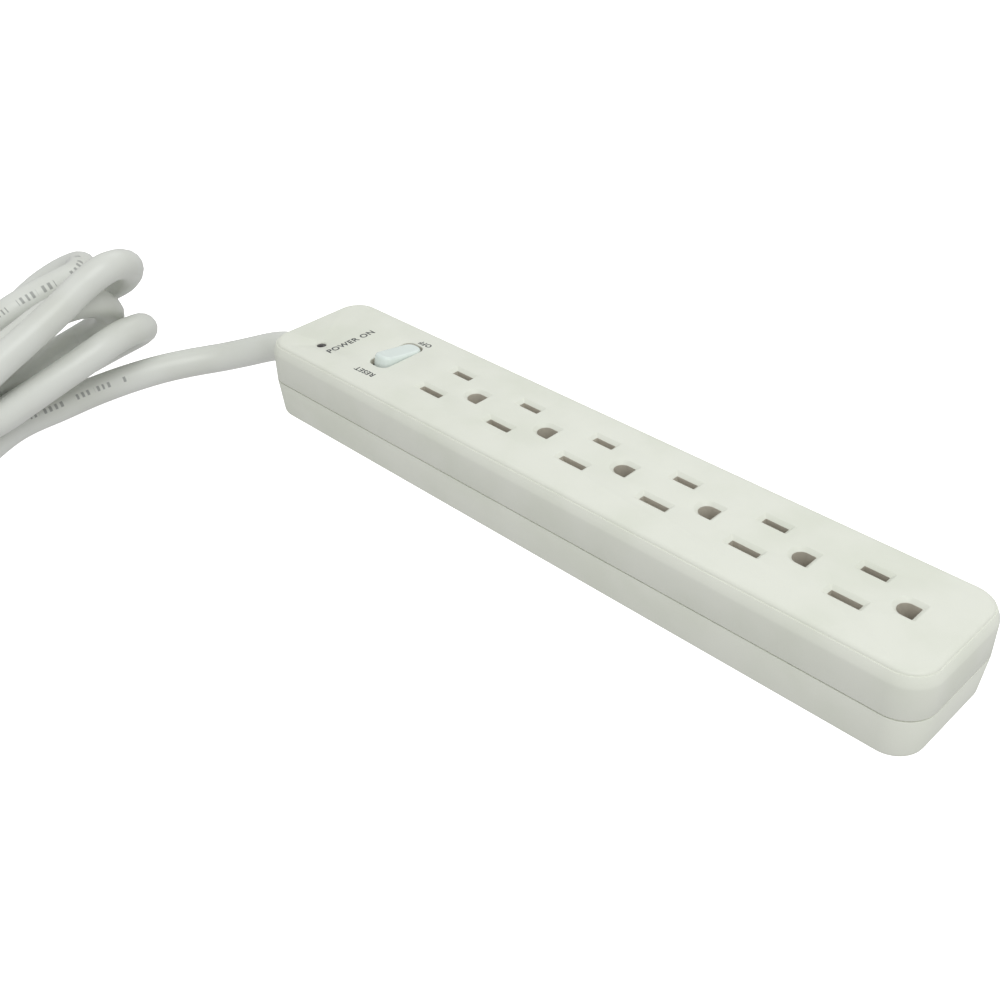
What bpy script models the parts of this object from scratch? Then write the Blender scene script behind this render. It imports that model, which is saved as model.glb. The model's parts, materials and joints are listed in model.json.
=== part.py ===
"""Six-outlet surge strip with a rocker switch, modelled as separate pieces.

Frame: metres, +Z up.  The origin is the centre of the case's footprint, on the surface it
stands on.  +X runs along the case away from the mains lead, and +Y across it.
"""
import math

import bmesh
import bpy
from mathutils import Matrix, Vector

OBJECT_NAME = "power_strip"

# --- driving dimensions -------------------------------------------------------------------
GAP = 0.0003                    # clearance between pieces that touch
CASE_LENGTH = 0.228
CASE_WIDTH = 0.040
CASE_HEIGHT = 0.0252
CASE_CORNER_RADIUS = 0.0087     # in plan
PARTING_Z = 0.0124              # where the two covers meet
SHOULDER_Z = 0.0219             # where the side wall turns in to the sloping band
BAND_INSET = 0.00105
BAND_RISE = 0.00245
LIP_INSET = 0.00035             # the soft groove between the band and the raised top
EDGE_STEPS = 3
EDGE_WIDTH = 0.0013             # rounding around the raised top
WALL = 0.0020
CAVITY_DRAFT = 0.0010
CAVITY_RUN = 0.0030
FOOT_ROUND = 0.0015             # rounding under the lower cover
FOOT_INSET = 0.0010             # draft of the lower cover

OUTLET_COUNT = 6
OUTLET_PITCH = 0.02746
FIRST_OUTLET_X = -0.0515
OUTLET_Y = 0.0010               # centreline of the outlets
BLADE_SPACING = 0.0127
SLOT_WIDTH = 0.0020
NEUTRAL_SLOT = 0.0082
HOT_SLOT = 0.0067
GROUND_OFFSET = 0.0119          # from the blade line to the centre of the round end
GROUND_RADIUS = 0.00245
GROUND_FLAT_X = 0.0025          # the flat end, measured from the same centre
BEVEL_WIDTH = 0.00115           # sunken border around each hole
BEVEL_DEPTH = 0.00090

SWITCH_X = -0.07475
SWITCH_Y = 0.00175
PIVOT_Z = 0.0216
ROCKER_WIDTH = 0.0070
ROCKER_TOP_HALF = 0.00761       # half length of the cap at its top edge
ROCKER_TOP_RISE = 0.00500       # height of the cap's ends over the pivot
ROCKER_DISH = 0.00060
ROCKER_SIDE_LEAN = 0.146        # how much the end faces lean in, per unit of height
ROCKER_CORNER = 0.0030
WINDOW_WIDTH = 0.0076
WINDOW_HALF = 0.00865
WINDOW_CORNER = 0.0026
ROCKER_TILT = math.radians(9.6)  # switched off, the near end stands up by this much
PIN_RADIUS = 0.0012
PLUNGER_TIP = -0.0086           # below the rocker's pivot
ARM_Z = 0.0120                  # pivot of the contact arm
ARM_TILT = math.radians(7.0)
ARM_CONTACT_DROP = 0.0010
LOAD_CONTACT_Y = 0.0056         # from the switch's centre
LOAD_CONTACT_TOP = 0.0098
TERMINAL_HALF = 0.0020
TERMINAL_SHEET = 0.0008

LAMP_X = -0.0971
LAMP_Y = -0.0095
LAMP_HOLE = 0.00145
LAMP_BEVEL = 0.00035

CORD_DIAMETER = 0.0096
EXIT_Y = -0.0030
EXIT_Z = 0.0125
BOOT_LENGTH = 0.0080            # strain relief outside the wall
BOOT_INNER = 0.0145             # and inside it
WALL_BORE = 0.0058
BOOT_BODY = 0.0052
CLAMP_X = -0.1015
CLAMP_SPLIT = 0.0128            # underside of the clamp bar
CLAMP_SCREW_RADIUS = 0.0009
CLAMP_SCREW_REACH = 0.0082
LEAD_RADIUS = 0.00145
LEAD_IN = ((-0.1310, -0.0049, 0.0106), (-0.1392, -0.0098, 0.0075), (-0.1463, -0.0162, 0.0054),
           (-0.1513, -0.0237, 0.0049))
CORD_SPACING = 0.0060           # between the points of the cord's curves
CORD_LYING_Z = 0.0049           # cord's centre where it lies on the surface

HANK_CENTRE = (-0.156, -0.1135)
HANK_HEADING = math.radians(-76.0)
HANK_HALF_LENGTH = 0.083
HANK_HALF_WIDTH = 0.032
HANK_HIGH = 0.044
HANK_ENTRY = 67.0               # degrees, where the lead runs in to the round end
HANK_LEAVING = -150.0           # degrees, where the plug's end runs out
TIE_SHEET = 0.0012
TIE_WIDTH = 0.0060

TAIL_LEAVE = 0.012              # straight stretch out of the hank
TAIL_TURN = 0.038               # radius of the last bend before the plug
TAIL_TURN_END = 90.0            # heading of the plug, degrees
TAIL_STRAIGHT = 0.010
PLUG_RELIEF = 0.020
PLUG_RELIEF_RADII = (0.0052, 0.0062)
PLUG_TAPER = 0.018
PLUG_BLOCK = 0.020
PLUG_WIDTH = 0.027
PLUG_HEIGHT = 0.025
PLUG_NECK = 0.0130
PLUG_AXIS_Z = 0.0127
PLUG_CORNER = 0.0040
BLADE_SHEET = 0.0015
BLADE_REACH = 0.0165
BLADE_ROOT = 0.0050
BLADE_RISE = 0.0050             # from the plug's axis to the line of the blades
HOT_BLADE = 0.00635
NEUTRAL_BLADE = 0.0079
BLADE_HOLE = 0.0015
EARTH_PIN_RADIUS = 0.0024
EARTH_PIN_REACH = 0.0205

SCREW_PLACES = ((-0.1065, 0.0125), (0.0035, 0.0146), (0.1065, 0.0125))
POST_RADIUS = 0.0027
SCREW_RADIUS = 0.0012
SCREW_HEAD_RADIUS = 0.0026

KEYHOLE_PLACES = (-0.045, 0.075)
KEYHOLE_HEAD = 0.0042
KEYHOLE_SLOT = 0.0021
KEYHOLE_TRAVEL = 0.0070
POCKET_TOP = 0.0057
POCKET_WALL = 0.0008
POCKET_SPACE = 0.0009

CARRIER_X = (-0.0590, 0.1015)
CARRIER_Z = 0.0062
BUS_TOP = 0.0170
BUS_BOTTOM = 0.0082
BUS_SHEET = 0.0006

# --- colours: linear base colour, roughness, metallic -------------------------------------
CASE_WHITE = ((0.72, 0.75, 0.68), 0.38, 0.0)
ROCKER_WHITE = ((0.72, 0.80, 0.78), 0.30, 0.0)
CORD_GREY = ((0.58, 0.60, 0.57), 0.42, 0.0)
BRASS = ((0.74, 0.52, 0.20), 0.35, 1.0)
STEEL = ((0.56, 0.56, 0.55), 0.35, 1.0)
NICKEL = ((0.62, 0.60, 0.55), 0.25, 1.0)
DARK_PLASTIC = ((0.03, 0.03, 0.03), 0.45, 0.0)
INSULATOR = ((0.55, 0.53, 0.48), 0.50, 0.0)
BOARD_GREEN = ((0.05, 0.20, 0.07), 0.45, 0.0)
VARISTOR_BLUE = ((0.04, 0.12, 0.35), 0.40, 0.0)
LENS_AMBER = ((0.20, 0.06, 0.02), 0.15, 0.0)
LAMP_GLASS = ((0.60, 0.50, 0.40), 0.08, 0.0)
LEAD_BLACK = ((0.02, 0.02, 0.02), 0.40, 0.0)
LEAD_WHITE = ((0.75, 0.75, 0.73), 0.40, 0.0)
LEAD_GREEN = ((0.03, 0.25, 0.07), 0.40, 0.0)
TIE_BLACK = ((0.03, 0.03, 0.03), 0.50, 0.0)


# --- helpers ------------------------------------------------------------------------------
def clear_scene():
    """Remove every object, so that the script can be run again."""
    for old in list(bpy.data.objects):
        bpy.data.objects.remove(old, do_unlink=True)


def collection(name):
    found = bpy.data.collections.get(name) or bpy.data.collections.new(name)
    if name not in bpy.context.scene.collection.children:
        bpy.context.scene.collection.children.link(found)
    return found


def material(name, look):
    """A Principled material from (colour, roughness, metallic)."""
    colour, roughness, metallic = look
    made = bpy.data.materials.get(name) or bpy.data.materials.new(name)
    made.use_nodes = True
    shader = made.node_tree.nodes["Principled BSDF"]
    shader.inputs["Base Color"].default_value = (*colour, 1.0)
    shader.inputs["Roughness"].default_value = roughness
    shader.inputs["Metallic"].default_value = metallic
    return made


def add_mesh(name, bm, group, look=None, place=(0.0, 0.0, 0.0), smooth=True):
    """Turn a bmesh into an object of the group, placed by its location."""
    bmesh.ops.recalc_face_normals(bm, faces=bm.faces)
    mesh = bpy.data.meshes.new(name)
    bm.to_mesh(mesh)
    bm.free()
    if smooth:
        mesh.shade_smooth()
        mesh.set_sharp_from_angle(angle=math.radians(35.0))
    made = bpy.data.objects.new(name, mesh)
    made.location = place
    group.objects.link(made)
    if look:
        mesh.materials.append(material(name + "_material", look))
    return made


def hide_cutter(cutter):
    cutter.hide_render = True
    cutter.display_type = "WIRE"
    return cutter


def cutter_from(name, bm, cutters):
    return hide_cutter(add_mesh(name, bm, cutters, smooth=False))


def boolean(target, tool, operation="DIFFERENCE"):
    step = target.modifiers.new(tool.name, "BOOLEAN")
    step.operation = operation
    step.solver = "EXACT"
    step.object = tool


def box_bm(low, high):
    """A box between two corners."""
    bm = bmesh.new()
    size = [b - a for a, b in zip(low, high)]
    centre = [(a + b) / 2 for a, b in zip(low, high)]
    bmesh.ops.create_cube(bm, size=1.0)
    bmesh.ops.scale(bm, vec=size, verts=bm.verts)
    bmesh.ops.translate(bm, vec=centre, verts=bm.verts)
    return bm


def cylinder_bm(radius, low, high, axis="Z", segments=24, top_radius=None):
    """A cylinder or cone along an axis, from low to high on that axis."""
    bm = bmesh.new()
    bmesh.ops.create_cone(bm, cap_ends=True, segments=segments, radius1=radius,
                          radius2=radius if top_radius is None else top_radius,
                          depth=high - low)
    bmesh.ops.translate(bm, vec=(0.0, 0.0, (low + high) / 2), verts=bm.verts)
    if axis == "X":
        bmesh.ops.rotate(bm, matrix=Matrix.Rotation(math.radians(90.0), 3, "Y"), verts=bm.verts)
    if axis == "Y":
        bmesh.ops.rotate(bm, matrix=Matrix.Rotation(math.radians(-90.0), 3, "X"), verts=bm.verts)
    return bm


def merge(bm, other):
    """Add another shape's faces to bm, and free the other."""
    mesh = bpy.data.meshes.new("merged")
    other.to_mesh(mesh)
    other.free()
    bm.from_mesh(mesh)
    bpy.data.meshes.remove(mesh)


def posts_bm(places, radius, low, high, segments=16):
    """Upright cylinders at several (x, y) places, in one mesh."""
    bm = bmesh.new()
    for x, y in places:
        made = bmesh.ops.create_cone(bm, cap_ends=True, segments=segments, radius1=radius,
                                     radius2=radius, depth=high - low)["verts"]
        bmesh.ops.translate(bm, vec=(x, y, (low + high) / 2), verts=made)
    return bm


def bevel_edges(bm, edges, width, segments):
    bmesh.ops.bevel(bm, geom=edges, offset=width, segments=segments, affect="EDGES", profile=0.5)


def vertical_edges(bm):
    return [e for e in bm.edges if abs((e.verts[0].co - e.verts[1].co).normalized().z) > 0.99]


def rounded_prism_bm(half_x, half_y, radius, low, high, segments=6):
    """A prism whose four upright edges are rounded."""
    bm = box_bm((-half_x, -half_y, low), (half_x, half_y, high))
    bevel_edges(bm, vertical_edges(bm), radius, segments)
    return bm


def end_face(bm, side):
    """The large flat face at the upper end (side 1) or the lower end (side -1)."""
    level = [f for f in bm.faces if f.normal.z * side > 0.99]
    end = max(f.calc_center_median().z * side for f in level)
    return max((f for f in level if f.calc_center_median().z * side > end - GAP),
               key=lambda f: f.calc_area())


def inset_step(bm, side, inset, rise):
    """Draw the end face in by inset and out along its normal by rise."""
    bm.normal_update()
    face = end_face(bm, side)
    bmesh.ops.inset_region(bm, faces=[face], thickness=inset, depth=0.0, use_even_offset=True)
    bmesh.ops.translate(bm, vec=(0.0, 0.0, side * rise), verts=face.verts)


def rounded_step(bm, side, width, height):
    """Round the end face's rim with a quarter of an ellipse."""
    turn = math.radians(90.0) / EDGE_STEPS
    for i in range(EDGE_STEPS):
        inset_step(bm, side, width * (math.cos(i * turn) - math.cos((i + 1) * turn)),
                   height * (math.sin((i + 1) * turn) - math.sin(i * turn)))


def turned(name, profile, group, look=None, segments=32):
    """A solid of revolution about X from (x, radius) pairs, first and last on the axis."""
    bm = bmesh.new()
    points = [bm.verts.new((x, 0.0, radius)) for x, radius in profile]
    edges = [bm.edges.new(pair) for pair in zip(points, points[1:])]
    bmesh.ops.spin(bm, geom=points + edges, cent=(0, 0, 0), axis=(1, 0, 0), dvec=(0, 0, 0),
                   angle=math.tau, steps=segments, use_merge=True)
    bmesh.ops.remove_doubles(bm, verts=bm.verts, dist=0.000001)
    return add_mesh(name, bm, group, look)


def tube(name, points, radius, group, look, resolution=2):
    """A closed tube through the points: a polyline curve with a round bevel."""
    data = bpy.data.curves.new(name, "CURVE")
    data.dimensions = "3D"
    data.bevel_depth = radius
    data.bevel_resolution = resolution
    data.use_fill_caps = True
    line = data.splines.new("POLY")
    line.points.add(len(points) - 1)
    for spot, point in zip(line.points, points):
        spot.co = (*point, 1.0)
    data.materials.append(material(name + "_material", look))
    made = bpy.data.objects.new(name, data)
    group.objects.link(made)
    return made


def smooth_path(knots, spacing):
    """Points about spacing apart on a centripetal Catmull-Rom curve through the knots."""
    knots = [Vector(k) for k in knots]
    ends = [knots[0] * 2 - knots[1]] + knots + [knots[-1] * 2 - knots[-2]]
    path = []
    for a, b, c, d in zip(ends, ends[1:], ends[2:], ends[3:]):
        t1 = (b - a).length ** 0.5
        t2 = t1 + (c - b).length ** 0.5
        t3 = t2 + (d - c).length ** 0.5
        count = max(1, round((c - b).length / spacing))
        for i in range(count):
            t = t1 + (t2 - t1) * i / count
            ab = a.lerp(b, t / t1)
            bc = b.lerp(c, (t - t1) / (t2 - t1))
            cd = c.lerp(d, (t - t2) / (t3 - t2))
            abc = ab.lerp(bc, t / t2)
            bcd = bc.lerp(cd, (t - t1) / (t3 - t1))
            path.append(abc.lerp(bcd, (t - t1) / (t2 - t1)))
    path.append(knots[-1])
    return path


def prism_from_outline(outline, low, high):
    """An upright prism over a closed outline of (x, y) points."""
    bm = bmesh.new()
    face = bm.faces.new([bm.verts.new((x, y, low)) for x, y in outline])
    top = bmesh.ops.extrude_face_region(bm, geom=[face])["geom"]
    raised = [g for g in top if isinstance(g, bmesh.types.BMVert)]
    bmesh.ops.translate(bm, vec=(0.0, 0.0, high - low), verts=raised)
    return bm


def bar_along_x(outline, low, high):
    """A bar over a closed outline of (y, z) points, from low to high along X."""
    bm = prism_from_outline(outline, low, high)
    turn = Matrix(((0, 0, 1), (1, 0, 0), (0, 1, 0)))
    bmesh.ops.transform(bm, matrix=turn.to_4x4(), verts=bm.verts)
    return bm


def arc(centre, radius, start, end, steps):
    """Points on an arc, angles in degrees."""
    return [(centre[0] + radius * math.cos(math.radians(start + (end - start) * i / steps)),
             centre[1] + radius * math.sin(math.radians(start + (end - start) * i / steps)))
            for i in range(steps + 1)]


# --- case ---------------------------------------------------------------------------------
def case_cavity(name, open_z, closed_z, cutters):
    """The space inside a cover, from its open side to its closed side, whose rim draws in."""
    side = 1 if closed_z > open_z else -1
    straight_end = closed_z - side * CAVITY_RUN
    bm = rounded_prism_bm(CASE_LENGTH / 2 - WALL, CASE_WIDTH / 2 - WALL,
                          CASE_CORNER_RADIUS - WALL, min(open_z, straight_end),
                          max(open_z, straight_end))
    inset_step(bm, side, CAVITY_DRAFT, CAVITY_RUN)
    return cutter_from(name, bm, cutters)


def slot_outline(length):
    half_x = length / 2
    half_y = SLOT_WIDTH / 2
    return [(-half_x, -half_y), (half_x, -half_y), (half_x, half_y), (-half_x, half_y)]


def ground_outline():
    """A round end towards -X and a flat end towards +X."""
    rim = arc((0.0, 0.0), GROUND_RADIUS, 90.0, 270.0, 8)
    return rim + [(GROUND_FLAT_X, -GROUND_RADIUS), (GROUND_FLAT_X, GROUND_RADIUS)]


def funnel(bm, outline, centre, floor):
    """Add a hole's cutter: upright walls, then a sloped border that opens at the top face."""
    start = [bm.verts.new((x + centre[0], y + centre[1], floor)) for x, y in outline]
    face = bm.faces.new(start)
    half_x = max(x for x, _ in outline)
    half_y = max(y for _, y in outline)
    over = 0.0005
    reach = BEVEL_WIDTH * (1.0 + over / BEVEL_DEPTH)
    straight = CASE_HEIGHT - BEVEL_DEPTH
    for high, grow in ((straight, 0.0), (CASE_HEIGHT + over, reach)):
        below = face
        made = bmesh.ops.extrude_face_region(bm, geom=[below])["geom"]
        ring = [g for g in made if isinstance(g, bmesh.types.BMVert)]
        face = next(g for g in made if isinstance(g, bmesh.types.BMFace))
        if high > straight:
            bmesh.ops.delete(bm, geom=[below], context="FACES_ONLY")
        bmesh.ops.translate(bm, vec=(0.0, 0.0, high - ring[0].co.z), verts=ring)
        bmesh.ops.scale(bm, vec=((half_x + grow) / half_x, (half_y + grow) / half_y, 1.0),
                        space=Matrix.Translation((-centre[0], -centre[1], 0.0)), verts=ring)


def outlet_x(index):
    return FIRST_OUTLET_X + index * OUTLET_PITCH


def outlet_holes(cutters, floor):
    """The three holes of every outlet, as one cutter."""
    bm = bmesh.new()
    for index in range(OUTLET_COUNT):
        x = outlet_x(index)
        funnel(bm, slot_outline(NEUTRAL_SLOT), (x, OUTLET_Y - BLADE_SPACING / 2), floor)
        funnel(bm, slot_outline(HOT_SLOT), (x, OUTLET_Y + BLADE_SPACING / 2), floor)
        funnel(bm, ground_outline(), (x + GROUND_OFFSET, OUTLET_Y), floor)
    return cutter_from("outlet_holes", bm, cutters)


def screw_places():
    return [(x, y * side) for x, y in SCREW_PLACES for side in (-1, 1)]


def wall_bore(cutters, name):
    bm = cylinder_bm(WALL_BORE, -CASE_LENGTH / 2 - WALL, -CASE_LENGTH / 2 + 2 * WALL, "X", 32)
    bmesh.ops.translate(bm, vec=(0.0, EXIT_Y, EXIT_Z), verts=bm.verts)
    return cutter_from(name, bm, cutters)


def make_top_cover(parts, cutters):
    bm = rounded_prism_bm(CASE_LENGTH / 2, CASE_WIDTH / 2, CASE_CORNER_RADIUS,
                          PARTING_Z + GAP / 2, SHOULDER_Z, 8)
    inset_step(bm, 1, BAND_INSET, BAND_RISE)
    inset_step(bm, 1, LIP_INSET, 0.0)
    rounded_step(bm, 1, EDGE_WIDTH, CASE_HEIGHT - SHOULDER_Z - BAND_RISE)
    cover = add_mesh("top_cover", bm, parts, CASE_WHITE)
    boolean(cover, case_cavity("top_cavity", PARTING_Z - WALL, CASE_HEIGHT - WALL, cutters))

    block_low = 0.0186
    block = box_bm((CARRIER_X[0], OUTLET_Y - 0.0092, block_low),
                   (CARRIER_X[1], OUTLET_Y + 0.0092, CASE_HEIGHT - WALL / 2))
    boolean(cover, cutter_from("socket_block", block, cutters), "UNION")
    post_low = 0.0079
    posts = posts_bm(screw_places(), POST_RADIUS, post_low, CASE_HEIGHT - WALL / 2)
    boolean(cover, cutter_from("posts", posts, cutters), "UNION")
    holes = posts_bm(screw_places(), SCREW_RADIUS + GAP, post_low - WALL, 0.0195)
    boolean(cover, cutter_from("post_holes", holes, cutters))

    window = rounded_prism_bm(WINDOW_WIDTH / 2, WINDOW_HALF, WINDOW_CORNER,
                              CASE_HEIGHT - 2 * WALL, CASE_HEIGHT + WALL, 6)
    bmesh.ops.translate(window, vec=(SWITCH_X, SWITCH_Y, 0.0), verts=window.verts)
    boolean(cover, cutter_from("rocker_window", window, cutters))

    lamp = cylinder_bm(LAMP_HOLE, CASE_HEIGHT - 2 * WALL, CASE_HEIGHT + WALL, segments=24)
    bmesh.ops.translate(lamp, vec=(LAMP_X, LAMP_Y, 0.0), verts=lamp.verts)
    boolean(cover, cutter_from("lamp_hole", lamp, cutters))
    over = 0.0004
    rim = cylinder_bm(LAMP_HOLE, CASE_HEIGHT - LAMP_BEVEL, CASE_HEIGHT + over, segments=24,
                      top_radius=LAMP_HOLE + LAMP_BEVEL + over)
    bmesh.ops.translate(rim, vec=(LAMP_X, LAMP_Y, 0.0), verts=rim.verts)
    boolean(cover, cutter_from("lamp_rim", rim, cutters))
    boolean(cover, wall_bore(cutters, "upper_bore"))
    boolean(cover, outlet_holes(cutters, block_low - WALL))


def keyhole_bm(x, low, high):
    """A round head with a narrower slot that runs towards +X."""
    start = math.degrees(math.asin(KEYHOLE_SLOT / KEYHOLE_HEAD))
    rim = arc((x, 0.0), KEYHOLE_HEAD, start, 360.0 - start, 20)
    nose = arc((x + KEYHOLE_TRAVEL, 0.0), KEYHOLE_SLOT, -90.0, 90.0, 8)
    return prism_from_outline(rim + nose, low, high)


def make_bottom_cover(parts, cutters):
    rim = 0.0010
    bm = rounded_prism_bm(CASE_LENGTH / 2, CASE_WIDTH / 2, CASE_CORNER_RADIUS,
                          PARTING_Z - GAP / 2 - rim, PARTING_Z - GAP / 2, 8)
    inset_step(bm, -1, FOOT_INSET, PARTING_Z - GAP / 2 - rim - FOOT_ROUND)
    rounded_step(bm, -1, FOOT_ROUND, FOOT_ROUND)
    cover = add_mesh("bottom_cover", bm, parts, CASE_WHITE)
    boolean(cover, case_cavity("bottom_cavity", WALL, CASE_HEIGHT + WALL, cutters))

    boss_top = 0.0076
    head_depth = 0.0038
    bosses = posts_bm(screw_places(), 0.0038, WALL / 2, boss_top, 20)
    boolean(cover, cutter_from("bosses", bosses, cutters), "UNION")
    stands = posts_bm(clamp_screw_places(), 0.0020, WALL / 2, CLAMP_SPLIT - GAP)
    boolean(cover, cutter_from("clamp_stands", stands, cutters), "UNION")
    bores = posts_bm(screw_places(), SCREW_RADIUS + GAP, -WALL, boss_top + WALL)
    boolean(cover, cutter_from("boss_bores", bores, cutters))
    sinks = posts_bm(screw_places(), SCREW_HEAD_RADIUS + GAP, -WALL, head_depth, 20)
    boolean(cover, cutter_from("boss_sinks", sinks, cutters))
    stand_bores = posts_bm(clamp_screw_places(), CLAMP_SCREW_RADIUS + GAP, 0.0050,
                           CLAMP_SPLIT + WALL)
    boolean(cover, cutter_from("clamp_stand_bores", stand_bores, cutters))

    for number, x in enumerate(KEYHOLE_PLACES, start=1):
        back = x - KEYHOLE_HEAD - POCKET_SPACE
        front = x + KEYHOLE_TRAVEL + KEYHOLE_SLOT + 2 * POCKET_SPACE
        side = KEYHOLE_HEAD + POCKET_SPACE
        shell = box_bm((back - POCKET_WALL, -side - POCKET_WALL, WALL / 2),
                       (front + POCKET_WALL, side + POCKET_WALL, POCKET_TOP))
        boolean(cover, cutter_from(f"pocket_{number}", shell, cutters), "UNION")
        space = box_bm((back, -side, WALL), (front, side, POCKET_TOP - POCKET_WALL))
        boolean(cover, cutter_from(f"pocket_space_{number}", space, cutters))
        boolean(cover, cutter_from(f"keyhole_{number}", keyhole_bm(x, -WALL, 1.5 * WALL), cutters))
    boolean(cover, wall_bore(cutters, "lower_bore"))


def upright_screw(name, parts, place, head_low, head_high, head_radius, shank_end, shank_radius):
    """A pan-head screw standing on Z, its head between two heights."""
    side = 1.0 if shank_end > head_high else -1.0
    base = head_low if side > 0 else head_high
    top = head_high if side > 0 else head_low
    round_off = 0.0003
    profile = [(base, 0.0), (base, head_radius - round_off),
               (base + side * round_off, head_radius), (top, head_radius),
               (top, shank_radius), (shank_end - side * 2 * round_off, shank_radius),
               (shank_end, shank_radius / 3), (shank_end, 0.0)]
    bm = bmesh.new()
    points = [bm.verts.new((radius, 0.0, z)) for z, radius in profile]
    edges = [bm.edges.new(pair) for pair in zip(points, points[1:])]
    bmesh.ops.spin(bm, geom=points + edges, cent=(0, 0, 0), axis=(0, 0, 1), dvec=(0, 0, 0),
                   angle=math.tau, steps=20, use_merge=True)
    bmesh.ops.remove_doubles(bm, verts=bm.verts, dist=0.000001)
    return add_mesh(name, bm, parts, STEEL, place)


def make_case_screws(parts):
    for number, (x, y) in enumerate(screw_places(), start=1):
        upright_screw(f"case_screw_{number}", parts, (x, y, 0.0), 0.0015, 0.0035,
                      SCREW_HEAD_RADIUS, 0.0170, SCREW_RADIUS)


# --- switch -------------------------------------------------------------------------------
def rocker_end_y(height):
    """Half length of the rocker at a height over its pivot."""
    return ROCKER_TOP_HALF + (ROCKER_TOP_RISE - height) * ROCKER_SIDE_LEAN


def make_rocker(parts, cutters, pivot):
    """A dished cap with rounded ends, two pivot pins and a plunger, about its own pivot."""
    skirt = -0.0022
    steps = 12
    dish = []
    for i in range(steps + 1):
        along = 1.0 - 2.0 * i / steps
        dish.append((along * ROCKER_TOP_HALF,
                     ROCKER_TOP_RISE - ROCKER_DISH * (1.0 - along * along)))
    outline = [(-rocker_end_y(skirt), skirt), (rocker_end_y(skirt), skirt)] + dish
    cap = add_mesh("rocker_button", bar_along_x(outline, -ROCKER_WIDTH / 2, ROCKER_WIDTH / 2),
                   parts, ROCKER_WHITE)
    plan = rounded_prism_bm(ROCKER_WIDTH / 2, rocker_end_y(ROCKER_TOP_RISE / 2), ROCKER_CORNER,
                            -0.02, 0.02, 6)
    plan_tool = cutter_from("rocker_plan", plan, cutters)
    pins = cutter_from("rocker_pins", cylinder_bm(PIN_RADIUS, -0.0061, 0.0061, "X", 16), cutters)
    stem = cutter_from("rocker_stem", box_bm((-0.0015, -0.0011, PLUNGER_TIP),
                                             (0.0015, 0.0011, skirt / 2)), cutters)
    for tool, operation in ((plan_tool, "INTERSECT"), (pins, "UNION"), (stem, "UNION")):
        boolean(cap, tool, operation)
        tool.parent = pivot
    cap.parent = pivot
    return cap


def make_switch_housing(parts, cutters):
    half_x = 0.0064
    half_y = 0.0116
    floor = 0.0068
    sheet = 0.0012
    top = CASE_HEIGHT - WALL - 0.0008
    place = (SWITCH_X, SWITCH_Y, 0.0)
    housing = add_mesh("switch_housing", box_bm((-half_x, -half_y, floor), (half_x, half_y, top)),
                       parts, DARK_PLASTIC, place, smooth=False)
    well = box_bm((-half_x + sheet, -half_y + sheet, floor + sheet),
                  (half_x - sheet, half_y - sheet, top + sheet))
    notch_half = PIN_RADIUS + GAP
    notch = box_bm((-half_x - sheet, -notch_half, PIVOT_Z - notch_half),
                   (half_x + sheet, notch_half, top + sheet))
    slots = [box_bm((-TERMINAL_HALF - GAP, y - TERMINAL_SHEET / 2 - GAP, floor - sheet),
                    (TERMINAL_HALF + GAP, y + TERMINAL_SHEET / 2 + GAP, floor + 2 * sheet))
             for y in (0.0, LOAD_CONTACT_Y)]
    for name, bm in zip(("switch_well", "pin_notch", "line_slot", "load_slot"),
                        [well, notch] + slots):
        tool = cutter_from(name, bm, cutters)
        tool.location = place
        boolean(housing, tool)


def make_contact_arm(parts, cutters, pivot):
    """The brass lever that rocks on the line terminal, with a contact under its far end."""
    arm = add_mesh("switch_contact_arm", box_bm((-0.0020, -0.0062, -0.0004),
                                                (0.0020, 0.0068, 0.0004)), parts, BRASS)
    rivet = cylinder_bm(0.0013, -ARM_CONTACT_DROP, 0.0, segments=16)
    bmesh.ops.translate(rivet, vec=(0.0, LOAD_CONTACT_Y, 0.0), verts=rivet.verts)
    tool = cutter_from("arm_rivet", rivet, cutters)
    boolean(arm, tool, "UNION")
    arm.parent = pivot
    tool.parent = pivot


def make_terminals(parts, cutters):
    tab_low = 0.0032
    half = TERMINAL_SHEET / 2
    place = (SWITCH_X, SWITCH_Y, 0.0)
    add_mesh("line_terminal", box_bm((-TERMINAL_HALF, -half, tab_low),
                                     (TERMINAL_HALF, half, ARM_Z - 0.0008)),
             parts, BRASS, place, smooth=False)
    load = add_mesh("load_terminal", box_bm((-TERMINAL_HALF, LOAD_CONTACT_Y - half, tab_low),
                                            (TERMINAL_HALF, LOAD_CONTACT_Y + half, 0.0094)),
                    parts, BRASS, place, smooth=False)
    button = cylinder_bm(0.0013, 0.0090, LOAD_CONTACT_TOP, segments=16)
    bmesh.ops.translate(button, vec=(0.0, LOAD_CONTACT_Y, 0.0), verts=button.verts)
    tool = cutter_from("load_button", button, cutters)
    tool.location = place
    boolean(load, tool, "UNION")


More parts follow.
